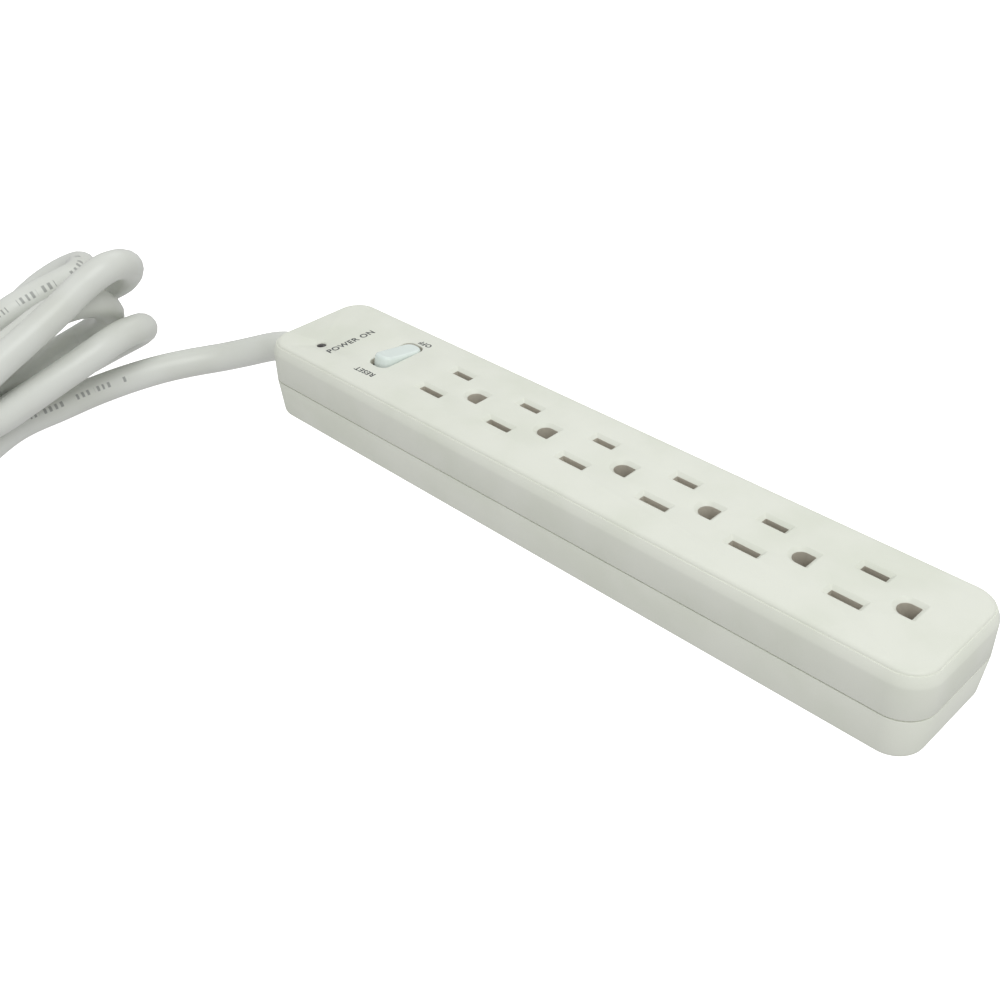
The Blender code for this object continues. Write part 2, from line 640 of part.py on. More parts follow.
# --- contacts -----------------------------------------------------------------------------
def make_bus(name, parts, cutters, y, half, leaf_places, leaf_length, look):
    """A folded channel whose two walls are cut into a pair of spring leaves per outlet."""
    low = BUS_BOTTOM
    sheet = BUS_SHEET
    outline = [(y - half, low), (y + half, low), (y + half, BUS_TOP), (y + half - sheet, BUS_TOP),
               (y + half - sheet, low + sheet), (y - half + sheet, low + sheet),
               (y - half + sheet, BUS_TOP), (y - half, BUS_TOP)]
    start = CARRIER_X[0] + 0.0013
    end = CARRIER_X[1] - 0.0013
    bus = add_mesh(name, bar_along_x(outline, start, end), parts, look, smooth=False)
    edges = [start - sheet]
    for x in leaf_places:
        edges += [x - leaf_length / 2, x + leaf_length / 2]
    edges.append(end + sheet)
    bm = bmesh.new()
    for left, right in zip(edges[0::2], edges[1::2]):
        if right - left < sheet:
            continue
        made = bmesh.ops.create_cube(bm, size=1.0)["verts"]
        bmesh.ops.scale(bm, vec=(right - left, 3 * half, BUS_TOP), verts=made)
        bmesh.ops.translate(bm, vec=((left + right) / 2, y, low + 3 * sheet + BUS_TOP / 2),
                            verts=made)
    boolean(bus, cutter_from(name + "_gaps", bm, cutters))


def make_buses(parts, cutters):
    blades = [outlet_x(i) for i in range(OUTLET_COUNT)]
    pins = [x + GROUND_OFFSET for x in blades]
    half = 0.00155
    make_bus("neutral_bus_bar", parts, cutters, OUTLET_Y - BLADE_SPACING / 2, half,
             blades, 0.0110, BRASS)
    make_bus("hot_bus_bar", parts, cutters, OUTLET_Y + BLADE_SPACING / 2, half,
             blades, 0.0110, BRASS)
    make_bus("ground_bus_bar", parts, cutters, OUTLET_Y, GROUND_RADIUS + BUS_SHEET / 2,
             pins, 0.0080, STEEL)


def make_contact_carrier(parts):
    """The insulating tray under the bars, with a rib on each side of every bar."""
    base_top = BUS_BOTTOM - GAP
    rib_top = 0.0160
    ribs = ((-0.0094, -0.0082), (-0.00445, -0.00325), (0.00325, 0.00445), (0.0082, 0.0094))
    comb = []
    for inner, outer in reversed(ribs):
        comb += [(outer, base_top), (outer, rib_top), (inner, rib_top), (inner, base_top)]
    base = [(ribs[0][0], CARRIER_Z), (ribs[-1][1], CARRIER_Z)]
    outline = [(y + OUTLET_Y, z) for y, z in base + comb[1:-1]]
    add_mesh("contact_carrier", bar_along_x(outline, *CARRIER_X), parts, INSULATOR, smooth=False)


# --- surge protection and lamp ------------------------------------------------------------
def make_surge_parts(parts):
    board_y = 0.0156
    add_mesh("surge_board", box_bm((-0.1010, board_y, 0.0040), (-0.0820, board_y + 0.0016, 0.0200)),
             parts, BOARD_GREEN, smooth=False)
    for number, x in enumerate((-0.0963, -0.0867), start=1):
        disc = cylinder_bm(0.0045, -0.0041, 0.0, "Y", 24)
        bevel_edges(disc, [e for e in disc.edges if abs(e.verts[0].co.y - e.verts[1].co.y) < GAP],
                    0.0008, 2)
        add_mesh(f"varistor_{number}", disc, parts, VARISTOR_BLUE, (x, board_y - GAP, 0.0112))
    fuse = cylinder_bm(0.0015, -0.0040, 0.0040, "X", 16)
    add_mesh("thermal_fuse", fuse, parts, LEAD_WHITE, (-0.0915, board_y - 0.0018, 0.0182))


def make_lamp(parts):
    body = [(0.0209, 0.0), (0.0209, 0.0022), (0.0228, 0.0022), (0.0228, LAMP_HOLE - GAP),
            (0.0236, LAMP_HOLE - GAP), (0.0239, 0.0006), (0.0239, 0.0)]
    glow = [(0.0155, 0.0), (0.0155, 0.0018), (0.0165, 0.0018), (0.0165, 0.0015),
            (0.0190, 0.0015), (0.0199, 0.0011), (0.0203, 0.0004), (0.0203, 0.0)]
    for name, profile, look in (("indicator_lens", body, LENS_AMBER),
                                ("indicator_lamp", glow, LAMP_GLASS)):
        bm = bmesh.new()
        points = [bm.verts.new((radius, 0.0, z)) for z, radius in profile]
        edges = [bm.edges.new(pair) for pair in zip(points, points[1:])]
        bmesh.ops.spin(bm, geom=points + edges, cent=(0, 0, 0), axis=(0, 0, 1), dvec=(0, 0, 0),
                       angle=math.tau, steps=24, use_merge=True)
        bmesh.ops.remove_doubles(bm, verts=bm.verts, dist=0.000001)
        add_mesh(name, bm, parts, look, (LAMP_X, LAMP_Y, 0.0))


# --- mains lead inside the case -----------------------------------------------------------
def clamp_screw_places():
    return [(CLAMP_X, EXIT_Y + side * CLAMP_SCREW_REACH) for side in (-1, 1)]


def make_strain_relief(parts):
    """The moulded sleeve on the lead: a tapered nose, a neck in the wall and a gripped body."""
    wall = WALL + GAP
    inner = WALL + BOOT_INNER
    tip = CORD_DIAMETER / 2 + 0.0003
    profile = [(-BOOT_LENGTH, 0.0), (-BOOT_LENGTH, tip), (-0.0020, tip + 0.0011),
               (-GAP, tip + 0.0013), (-GAP, WALL_BORE - GAP), (wall, WALL_BORE - GAP),
               (wall, 0.0070), (wall + 0.0020, 0.0070), (wall + 0.0020, BOOT_BODY),
               (inner, BOOT_BODY), (inner, 0.0)]
    sleeve = turned("strain_relief", profile, parts, CORD_GREY)
    sleeve.location = (-CASE_LENGTH / 2, EXIT_Y, EXIT_Z)


def make_clamp(parts, cutters):
    half_x = 0.0019
    top = 0.0193
    reach = CLAMP_SCREW_REACH + 0.0022
    bar = add_mesh("cord_clamp", box_bm((CLAMP_X - half_x, EXIT_Y - reach, CLAMP_SPLIT),
                                        (CLAMP_X + half_x, EXIT_Y + reach, top)),
                   parts, DARK_PLASTIC, smooth=False)
    saddle = cylinder_bm(BOOT_BODY + GAP, CLAMP_X - WALL, CLAMP_X + WALL, "X", 32)
    bmesh.ops.translate(saddle, vec=(0.0, EXIT_Y, EXIT_Z), verts=saddle.verts)
    boolean(bar, cutter_from("clamp_saddle", saddle, cutters))
    holes = posts_bm(clamp_screw_places(), CLAMP_SCREW_RADIUS + GAP, CLAMP_SPLIT - WALL, top + WALL)
    boolean(bar, cutter_from("clamp_holes", holes, cutters))
    for number, (x, y) in enumerate(clamp_screw_places(), start=1):
        upright_screw(f"clamp_screw_{number}", parts, (x, y, 0.0), top + GAP,
                      top + GAP + 0.0014, 0.0019, 0.0065, CLAMP_SCREW_RADIUS)


def make_leads(parts):
    """The insulated leads from the mains lead to the switch and the bars."""
    start = -CASE_LENGTH / 2 + WALL + BOOT_INNER + GAP
    bus_end = CARRIER_X[0] + 0.0013 - GAP
    bus_z = 0.0096
    under = 0.0044
    neutral_y = OUTLET_Y - BLADE_SPACING / 2
    hot_y = OUTLET_Y + BLADE_SPACING / 2
    line_tab = SWITCH_X - TERMINAL_HALF - GAP
    load_tab = SWITCH_X + TERMINAL_HALF + GAP
    load_y = SWITCH_Y + LOAD_CONTACT_Y
    routes = {
        "line_lead": (LEAD_BLACK, [
            (start, EXIT_Y + 0.0016, EXIT_Z + 0.0009), (-0.0930, -0.0008, 0.0122),
            (-0.0885, 0.0003, 0.0082), (-0.0845, SWITCH_Y, 0.0052),
            (-0.0810, SWITCH_Y, under), (line_tab, SWITCH_Y, under)]),
        "neutral_lead": (LEAD_WHITE, [
            (start, EXIT_Y - 0.0016, EXIT_Z + 0.0009), (-0.0930, -0.0056, 0.0130),
            (-0.0880, -0.0095, 0.0110), (-0.0830, -0.0134, 0.0085), (-0.0760, -0.0146, 0.0072),
            (-0.0685, -0.0136, 0.0072), (-0.0630, -0.0090, 0.0086), (-0.0604, -0.0060, 0.0095),
            (bus_end, neutral_y, bus_z)]),
        "ground_lead": (LEAD_GREEN, [
            (start, EXIT_Y, EXIT_Z - 0.0018), (-0.0930, -0.0034, 0.0086),
            (-0.0885, -0.0042, 0.0054), (-0.0840, -0.0046, under), (-0.0760, -0.0046, under),
            (-0.0680, -0.0034, 0.0048), (-0.0635, -0.0006, 0.0071), (-0.0605, 0.0008, 0.0094),
            (bus_end, OUTLET_Y, bus_z)]),
        "load_lead": (LEAD_BLACK, [
            (load_tab, load_y, under), (-0.0695, load_y, 0.0045), (-0.0650, 0.0070, 0.0062),
            (-0.0612, hot_y, 0.0089), (bus_end, hot_y, bus_z)]),
    }
    for name, (look, knots) in routes.items():
        if name != "load_lead":
            knots.insert(1, (start + LEAD_RADIUS, *knots[0][1:]))
        tube(name, smooth_path(knots, 0.0030), LEAD_RADIUS, parts, look)


def polar(centre, radius, degrees):
    """A point at a radius and an angle round a centre, in plan."""
    return (centre[0] + radius * math.cos(math.radians(degrees)),
            centre[1] + radius * math.sin(math.radians(degrees)))


def hank_end_centre(end):
    """Centre of the hank's round end: 1 for the end it heads to, -1 for the other."""
    reach = end * (HANK_HALF_LENGTH - HANK_HALF_WIDTH)
    return (HANK_CENTRE[0] + reach * math.cos(HANK_HEADING),
            HANK_CENTRE[1] + reach * math.sin(HANK_HEADING))


def make_cord(parts):
    """The lead up to the hank, and its last stretch from the hank to the plug."""
    start = (-CASE_LENGTH / 2 - BOOT_LENGTH - GAP, EXIT_Y, EXIT_Z)
    straight = (start[0] - CORD_DIAMETER / 4, EXIT_Y, EXIT_Z)
    face = polar(hank_end_centre(-1), HANK_HALF_WIDTH + GAP, HANK_ENTRY)
    before = polar(hank_end_centre(-1), HANK_HALF_WIDTH + CORD_DIAMETER / 2, HANK_ENTRY)
    knots = [start, straight, *LEAD_IN, (*before, CORD_LYING_Z), (*face, CORD_LYING_Z)]
    tube("cord_tube", smooth_path(knots, CORD_SPACING), CORD_DIAMETER / 2, parts, CORD_GREY)

    leaving = polar(hank_end_centre(1), HANK_HALF_WIDTH + GAP, HANK_LEAVING)
    turn_start = polar(leaving, TAIL_LEAVE, HANK_LEAVING)
    turn_centre = polar(turn_start, TAIL_TURN, HANK_LEAVING - 90.0)
    bend = arc(turn_centre, TAIL_TURN, HANK_LEAVING + 90.0, TAIL_TURN_END + 90.0 - 360.0, 6)
    rise = (0.0, 0.0, 0.0, 0.0, 0.10, 0.42, 0.80)
    lift = PLUG_AXIS_Z - CORD_LYING_Z
    knots = [(*leaving, CORD_LYING_Z)]
    knots += [(x, y, CORD_LYING_Z + lift * part) for (x, y), part in zip(bend, rise)]
    for reach in (TAIL_STRAIGHT - CORD_DIAMETER / 2, TAIL_STRAIGHT):
        knots.append((*polar(bend[-1], reach, TAIL_TURN_END), PLUG_AXIS_Z))
    tube("cord_tail", smooth_path(knots, CORD_SPACING), CORD_DIAMETER / 2, parts, CORD_GREY)
    return knots[-1]


def make_hank(parts, cutters):
    """The folded runs of cord as one body, and the tie round their middle."""
    low = TIE_SHEET + 2 * GAP
    reach = HANK_HALF_LENGTH - HANK_HALF_WIDTH
    outline = (arc((reach, 0.0), HANK_HALF_WIDTH, -90.0, 90.0, 16)
               + arc((-reach, 0.0), HANK_HALF_WIDTH, 90.0, 270.0, 16))
    hank = add_mesh("cord_hank", prism_from_outline(outline, low, HANK_HIGH), parts, CORD_GREY,
                    (*HANK_CENTRE, 0.0), smooth=False)
    inner_y = HANK_HALF_WIDTH + GAP
    outer_y = inner_y + TIE_SHEET
    tie = add_mesh("cord_tie", box_bm((-TIE_WIDTH / 2, -outer_y, GAP),
                                      (TIE_WIDTH / 2, outer_y, HANK_HIGH + GAP + TIE_SHEET)),
                   parts, TIE_BLACK, (*HANK_CENTRE, 0.0), smooth=False)
    space = cutter_from("tie_space", box_bm((-TIE_WIDTH, -inner_y, GAP + TIE_SHEET),
                                            (TIE_WIDTH, inner_y, HANK_HIGH + GAP)), cutters)
    space.location = (*HANK_CENTRE, 0.0)
    for piece in (hank, tie, space):
        piece.rotation_euler = (0.0, 0.0, HANK_HEADING)
    boolean(tie, space)


def blade_places():
    """Name, distance across from the plug's axis and width of each blade."""
    return (("plug_hot_blade", -BLADE_SPACING / 2, HOT_BLADE),
            ("plug_neutral_blade", BLADE_SPACING / 2, NEUTRAL_BLADE))


def make_plug(parts, cutters, place):
    """The moulded plug: its blades point along +X of a parent at the end of the cord."""
    seat = bpy.data.objects.new("plug_seat", None)
    seat.location = place
    seat.rotation_euler = (0.0, 0.0, math.radians(TAIL_TURN_END))
    parts.objects.link(seat)
    small, large = PLUG_RELIEF_RADII
    relief_end = GAP + PLUG_RELIEF
    relief = turned("plug_strain_relief", [(GAP, 0.0), (GAP, small), (relief_end, large),
                                           (relief_end, 0.0)], parts, CORD_GREY)
    back = relief_end + GAP
    shoulder = back + PLUG_TAPER
    front = shoulder + PLUG_BLOCK
    bm = box_bm((shoulder, -PLUG_WIDTH / 2, -PLUG_HEIGHT / 2),
                (front, PLUG_WIDTH / 2, PLUG_HEIGHT / 2))
    rear = min(bm.faces, key=lambda f: f.calc_center_median().x)
    made = bmesh.ops.extrude_face_region(bm, geom=[rear])["geom"]
    bmesh.ops.delete(bm, geom=[rear], context="FACES_ONLY")
    ring = [g for g in made if isinstance(g, bmesh.types.BMVert)]
    bmesh.ops.translate(bm, vec=(-PLUG_TAPER, 0.0, 0.0), verts=ring)
    bmesh.ops.scale(bm, vec=(1.0, PLUG_NECK / PLUG_WIDTH, PLUG_NECK / PLUG_HEIGHT), verts=ring)
    lengthwise = [e for e in bm.edges if abs(e.verts[0].co.x - e.verts[1].co.x) > GAP]
    bevel_edges(bm, lengthwise, PLUG_CORNER, 4)
    body = add_mesh("plug_body", bm, parts, CORD_GREY, smooth=False)

    root = front - BLADE_ROOT
    tip = front + BLADE_REACH
    pin_z = BLADE_RISE - GROUND_OFFSET
    pockets = cylinder_bm(EARTH_PIN_RADIUS + GAP, root - GAP, front + WALL, "X")
    bmesh.ops.translate(pockets, vec=(0.0, 0.0, pin_z), verts=pockets.verts)
    pieces = [relief, body]
    for name, across, width in blade_places():
        half = BLADE_SHEET / 2
        low_z = BLADE_RISE - width / 2
        high_z = BLADE_RISE + width / 2
        blade = add_mesh(name, box_bm((root, across - half, low_z), (tip, across + half, high_z)),
                         parts, NICKEL, smooth=False)
        hole = cylinder_bm(BLADE_HOLE, across - WALL, across + WALL, "Y", 20)
        bmesh.ops.translate(hole, vec=(front + 0.0117, 0.0, BLADE_RISE), verts=hole.verts)
        hole_cutter = cutter_from(name + "_hole", hole, cutters)
        boolean(blade, hole_cutter)
        pocket = box_bm((root - GAP, across - half - GAP, low_z - GAP),
                        (front + WALL, across + half + GAP, high_z + GAP))
        merge(pockets, pocket)
        pieces += [blade, hole_cutter]
    pocket_cutter = cutter_from("plug_pockets", pockets, cutters)
    boolean(body, pocket_cutter)
    end = front + EARTH_PIN_REACH
    profile = [(root, 0.0), (root, EARTH_PIN_RADIUS), (end - EARTH_PIN_RADIUS, EARTH_PIN_RADIUS),
               (end - 0.0009, 0.0018), (end, 0.0008), (end, 0.0)]
    pin = turned("plug_earth_pin", profile, parts, NICKEL, segments=24)
    pin.location = (0.0, 0.0, pin_z)
    for piece in (*pieces, pin, pocket_cutter):
        piece.parent = seat


def main():
    clear_scene()
    parts = collection(OBJECT_NAME)
    cutters = collection(OBJECT_NAME + "_cutters")
    make_top_cover(parts, cutters)
    make_bottom_cover(parts, cutters)
    make_case_screws(parts)
    rocker_pivot = bpy.data.objects.new("rocker_pivot", None)
    rocker_pivot.location = (SWITCH_X, SWITCH_Y, PIVOT_Z)
    rocker_pivot.rotation_euler = (-ROCKER_TILT, 0.0, 0.0)
    parts.objects.link(rocker_pivot)
    make_rocker(parts, cutters, rocker_pivot)
    arm_pivot = bpy.data.objects.new("arm_pivot", None)
    arm_pivot.location = (SWITCH_X, SWITCH_Y, ARM_Z)
    arm_pivot.rotation_euler = (ARM_TILT, 0.0, 0.0)
    parts.objects.link(arm_pivot)
    make_contact_arm(parts, cutters, arm_pivot)
    make_switch_housing(parts, cutters)
    make_terminals(parts, cutters)
    make_buses(parts, cutters)
    make_contact_carrier(parts)
    make_surge_parts(parts)
    make_lamp(parts)
    make_strain_relief(parts)
    make_clamp(parts, cutters)
    make_leads(parts)
    plug_place = make_cord(parts)
    make_hank(parts, cutters)
    make_plug(parts, cutters, plug_place)


if __name__ == "__main__":
    main()
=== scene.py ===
"""Looks of the power strip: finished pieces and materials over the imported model."""
import json
import math

import bmesh
import bpy
import numpy as np
from bpy.props import FloatProperty, FloatVectorProperty, PointerProperty
from mathutils import Matrix, Vector

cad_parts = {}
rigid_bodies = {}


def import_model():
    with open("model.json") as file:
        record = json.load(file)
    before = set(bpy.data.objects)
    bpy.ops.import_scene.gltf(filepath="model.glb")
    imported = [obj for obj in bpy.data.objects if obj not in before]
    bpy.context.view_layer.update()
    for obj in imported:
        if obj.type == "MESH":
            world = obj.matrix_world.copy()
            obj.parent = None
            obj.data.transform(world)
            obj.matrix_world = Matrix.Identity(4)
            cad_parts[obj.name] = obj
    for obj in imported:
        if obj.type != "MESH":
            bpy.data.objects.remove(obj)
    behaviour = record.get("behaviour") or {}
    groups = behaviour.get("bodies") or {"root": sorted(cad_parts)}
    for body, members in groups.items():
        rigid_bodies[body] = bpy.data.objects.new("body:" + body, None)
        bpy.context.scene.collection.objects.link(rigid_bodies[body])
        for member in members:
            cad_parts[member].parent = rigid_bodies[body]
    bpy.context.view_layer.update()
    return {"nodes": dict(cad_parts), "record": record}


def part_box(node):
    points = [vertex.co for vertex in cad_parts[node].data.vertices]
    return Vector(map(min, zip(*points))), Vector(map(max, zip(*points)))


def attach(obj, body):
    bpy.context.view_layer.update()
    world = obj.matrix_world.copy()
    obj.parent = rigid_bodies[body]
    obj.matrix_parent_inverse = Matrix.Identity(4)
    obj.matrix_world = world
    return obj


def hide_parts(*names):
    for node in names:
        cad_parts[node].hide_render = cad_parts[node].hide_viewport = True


bl_info = {
    "name": "Power strip looks",
    "version": (1, 0, 0),
    "blender": (4, 5, 0),
    "location": "3D View > Sidebar > Power strip",
    "description": "Builds the finished pieces and materials of a power strip",
    "category": "Object",
}

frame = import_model()
MM = 0.001
TOP_HIGH = Vector(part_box("top_cover")[1])
JOINTS = {joint["name"]: joint for joint in frame["record"]["behaviour"]["joints"]}
PIVOT = Vector(JOINTS["rocker_tilt"]["pos_m"])


# --- small tools --------------------------------------------------------------------------
def linear(code):
    """A linear RGBA colour from an sRGB hex code."""
    parts = [int(code[i:i + 2], 16) / 255 for i in (1, 3, 5)]
    return (*[p / 12.92 if p <= 0.04045 else ((p + 0.055) / 1.055) ** 2.4 for p in parts], 1.0)


def add_node(tree, kind, settings=None, inputs=None, links=None):
    """Add a node, set its properties and sockets, and link its inputs from (node, socket)."""
    made = tree.nodes.new(kind)
    for name, value in (settings or {}).items():
        setattr(made, name, value)
    for name, value in (inputs or {}).items():
        made.inputs[name].default_value = value
    for name, (source, socket) in (links or {}).items():
        tree.links.new(source.outputs[socket], made.inputs[name])
    return made


def new_material(name, colour, roughness, **sockets):
    """A material with one Principled shader; returns it, its tree and the shader."""
    made = bpy.data.materials.new(name)
    made.use_nodes = True
    shader = made.node_tree.nodes["Principled BSDF"]
    shader.inputs["Base Color"].default_value = colour
    shader.inputs["Roughness"].default_value = roughness
    for socket, value in sockets.items():
        shader.inputs[socket.replace("_", " ")].default_value = value
    return made, made.node_tree, shader


def ramp_between(tree, source, low, high, start, end):
    """Mix two values or colours by a ramp over a source between start and end."""
    scale = add_node(tree, "ShaderNodeMapRange", {"interpolation_type": "SMOOTHSTEP"},
                     {"From Min": start, "From Max": end}, {"Value": source})
    if isinstance(low, float):
        return add_node(tree, "ShaderNodeMapRange", {}, {"To Min": low, "To Max": high},
                        {"Value": (scale, "Result")})
    mix = add_node(tree, "ShaderNodeMix", {"data_type": "RGBA"}, {}, {"Factor": (scale, "Result")})
    mix.inputs[6].default_value = low
    mix.inputs[7].default_value = high
    return mix


def moulded(name, colour, tint, roughness, grain_mm, grain_depth, patch_mm=18.0, **sockets):
    """Injection-moulded plastic: faint cloudy colour, a fine texture and uneven gloss."""
    made, tree, shader = new_material(name, linear(colour), roughness, **sockets)
    place = add_node(tree, "ShaderNodeTexCoord")
    clouds = add_node(tree, "ShaderNodeTexNoise", {}, {"Scale": 1 / (patch_mm * MM), "Detail": 3.0},
                      {"Vector": (place, "Object")})
    hue = ramp_between(tree, (clouds, "Fac"), linear(colour), linear(tint), 0.35, 0.75)
    tree.links.new(hue.outputs[2], shader.inputs["Base Color"])
    gloss = ramp_between(tree, (clouds, "Fac"), roughness - 0.05, roughness + 0.06, 0.3, 0.7)
    tree.links.new(gloss.outputs["Result"], shader.inputs["Roughness"])
    grain = add_node(tree, "ShaderNodeTexNoise", {}, {"Scale": 1 / (grain_mm * MM), "Detail": 2.0},
                     {"Vector": (place, "Object")})
    bump = add_node(tree, "ShaderNodeBump", {}, {"Strength": grain_depth, "Distance": 0.05 * MM},
                    {"Height": (grain, "Fac")})
    tree.links.new(bump.outputs["Normal"], shader.inputs["Normal"])
    return made


def metal(name, colour, dark, roughness, grain_mm):
    """Bare or plated metal with fine scuffs that vary its gloss."""
    made, tree, shader = new_material(name, linear(colour), roughness, Metallic=1.0)
    place = add_node(tree, "ShaderNodeTexCoord")
    scuffs = add_node(tree, "ShaderNodeTexNoise", {}, {"Scale": 1 / (grain_mm * MM), "Detail": 4.0},
                      {"Vector": (place, "Object")})
    hue = ramp_between(tree, (scuffs, "Fac"), linear(colour), linear(dark), 0.4, 0.8)
    tree.links.new(hue.outputs[2], shader.inputs["Base Color"])
    gloss = ramp_between(tree, (scuffs, "Fac"), roughness - 0.08, roughness + 0.12, 0.3, 0.7)
    tree.links.new(gloss.outputs["Result"], shader.inputs["Roughness"])
    return made


def finish_piece(name, bm, look, body="strip", sharp=38.0, stands_for=()):
    """Turn a bmesh into a finished piece that rides on a body and stands for CAD nodes."""
    mesh = bpy.data.meshes.new(name)
    bm.to_mesh(mesh)
    bm.free()
    for face in mesh.polygons:
        face.use_smooth = True
    mesh.set_sharp_from_angle(angle=math.radians(sharp))
    mesh.materials.append(look)
    made = bpy.data.objects.new(name, mesh)
    bpy.context.scene.collection.objects.link(made)
    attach(made, body)
    if stands_for:
        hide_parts(*stands_for)
    return made


def ring(bm, points):
    """A closed loop of edges through the points."""
    verts = [bm.verts.new(p) for p in points]
    return [bm.edges.new((a, b)) for a, b in zip(verts, verts[1:] + verts[:1])]


def rounded_points(half_x, half_y, radius, centre=(0.0, 0.0), offset=0.0, z=0.0, steps=12):
    """Points round a rounded rectangle, moved outwards by an offset."""
    points = []
    for corner in range(4):
        sign_x = 1 if corner in (0, 3) else -1
        sign_y = 1 if corner in (0, 1) else -1
        for i in range(steps + 1):
            angle = math.pi / 2 * (corner + i / steps)
            reach = radius + offset
            points.append((centre[0] + sign_x * (half_x - radius) + reach * math.cos(angle),
                           centre[1] + sign_y * (half_y - radius) + reach * math.sin(angle), z))
    return points


def grown(outline, centre, offset, z):
    """A convex outline about a centre, with its sides moved outwards by an offset."""
    half_x = max(abs(x) for x, _ in outline)
    half_y = max(abs(y) for _, y in outline)
    return [(centre[0] + x * (half_x + offset) / half_x,
             centre[1] + y * (half_y + offset) / half_y, z) for x, y in outline]


def loft(bm, loops):
    """Skin through loops of points; returns the edges of the first and the last loop."""
    rings = [ring(bm, points) for points in loops]
    for a, b in zip(rings, rings[1:]):
        bmesh.ops.bridge_loops(bm, edges=a + b)
    return rings[0], rings[-1]


def fill(bm, edges):
    """Fill flat closed loops, with the inner ones as holes."""
    bmesh.ops.triangle_fill(bm, edges=edges, use_beauty=True)


def spun(profile, centre, axis, steps=48):
    """A closed solid of revolution from (along, radius) pairs that start and end at radius 0."""
    axis = Vector(axis).normalized()
    side = axis.orthogonal().normalized()
    centre = Vector(centre)
    bm = bmesh.new()
    verts = [bm.verts.new(centre + axis * along + side * radius) for along, radius in profile]
    edges = [bm.edges.new(pair) for pair in zip(verts, verts[1:])]
    bmesh.ops.spin(bm, geom=verts + edges, cent=centre, axis=axis, angle=math.tau, steps=steps,
                   use_merge=True)
    bmesh.ops.remove_doubles(bm, verts=bm.verts, dist=0.001 * MM)
    bmesh.ops.recalc_face_normals(bm, faces=bm.faces)
    return bm


def sweep(bm, path, radius, steps=10):
    """A round rod along a path, closed at both ends."""
    rings = []
    for i, point in enumerate(path):
        heading = (path[min(i + 1, len(path) - 1)] - path[max(i - 1, 0)]).normalized()
        turned = heading.to_track_quat("Z", "Y").to_matrix()
        rings.append(ring(bm, [point + turned @ Vector((radius * math.cos(math.tau * k / steps),
                                                        radius * math.sin(math.tau * k / steps),
                                                        0.0)) for k in range(steps)]))
    made = []
    for a, b in zip(rings, rings[1:]):
        made += bmesh.ops.bridge_loops(bm, edges=a + b)["faces"]
    for end in (rings[0], rings[-1]):
        made += bmesh.ops.edgeloop_fill(bm, edges=end)["faces"]
    bmesh.ops.recalc_face_normals(bm, faces=made)


def dress(look, *names):
    """Give a material to CAD nodes whose shape is kept."""
    for name in names:
        made = frame["nodes"][name]
        made.data.materials.clear()
        made.data.materials.append(look)


# --- settings -----------------------------------------------------------------------------
class StripSettings(bpy.types.PropertyGroup):
    """Sizes and colours a user would change."""
    edge_radius: FloatProperty(
        name="Top edge", description="Rounding round the raised top", default=1.3 * MM,
        unit="LENGTH")
    border: FloatProperty(
        name="Border", description="Width of the sunken border round each hole",
        default=1.15 * MM, unit="LENGTH")
    border_depth: FloatProperty(
        name="Border depth", description="Depth of the sunken border", default=0.9 * MM,
        unit="LENGTH")
    cord_diameter: FloatProperty(
        name="Cord diameter", description="Outside diameter of the mains lead",
        default=9.6 * MM, unit="LENGTH")
    cord_length: FloatProperty(
        name="Cord length", description="Length of the lead from the case to the plug",
        default=1.83, unit="LENGTH")
    print_colour: FloatVectorProperty(
        name="Print colour", description="Colour of the printed words", size=4,
        default=linear("#3A3D3E"), subtype="COLOR", min=0.0, max=1.0)


def settings():
    """The sizes and colours that a user has set."""
    return bpy.context.scene.strip_settings


def case_look():
    """Impact ABS, moulded with a fine matt texture: soft, even, slightly green white."""
    found = bpy.data.materials.get("abs_fine_texture")
    return found or moulded("abs_fine_texture", "#E9EBE1", "#E3E6DA", 0.42, 0.35, 0.35)


def vinyl_look():
    """Flexible vinyl, moulded: greyer than the case, with a soft broad sheen."""
    found = bpy.data.materials.get("moulded_vinyl")
    return found or moulded("moulded_vinyl", "#DADCD6", "#CFD1CA", 0.36, 0.6, 0.3)


# --- camera and stage ---------------------------------------------------------------------
AZIMUTH, ELEVATION, ROLL = (math.radians(a) for a in (45.82, 35.25, -1.86))
CAMERA_PLACE = (0.1853, -0.2092, 0.2057)
FOCAL_MM = 44.65
SKY_STRENGTH = 0.60
FLOOR_HALF = 6.0
# Each light's name, place in metres, size in metres and power in watts.
LIGHTS = (("key", (0.75, -0.35, 1.3), 1.1, 9.0), ("back", (-0.5, 0.9, 1.1), 0.9, 2.0))


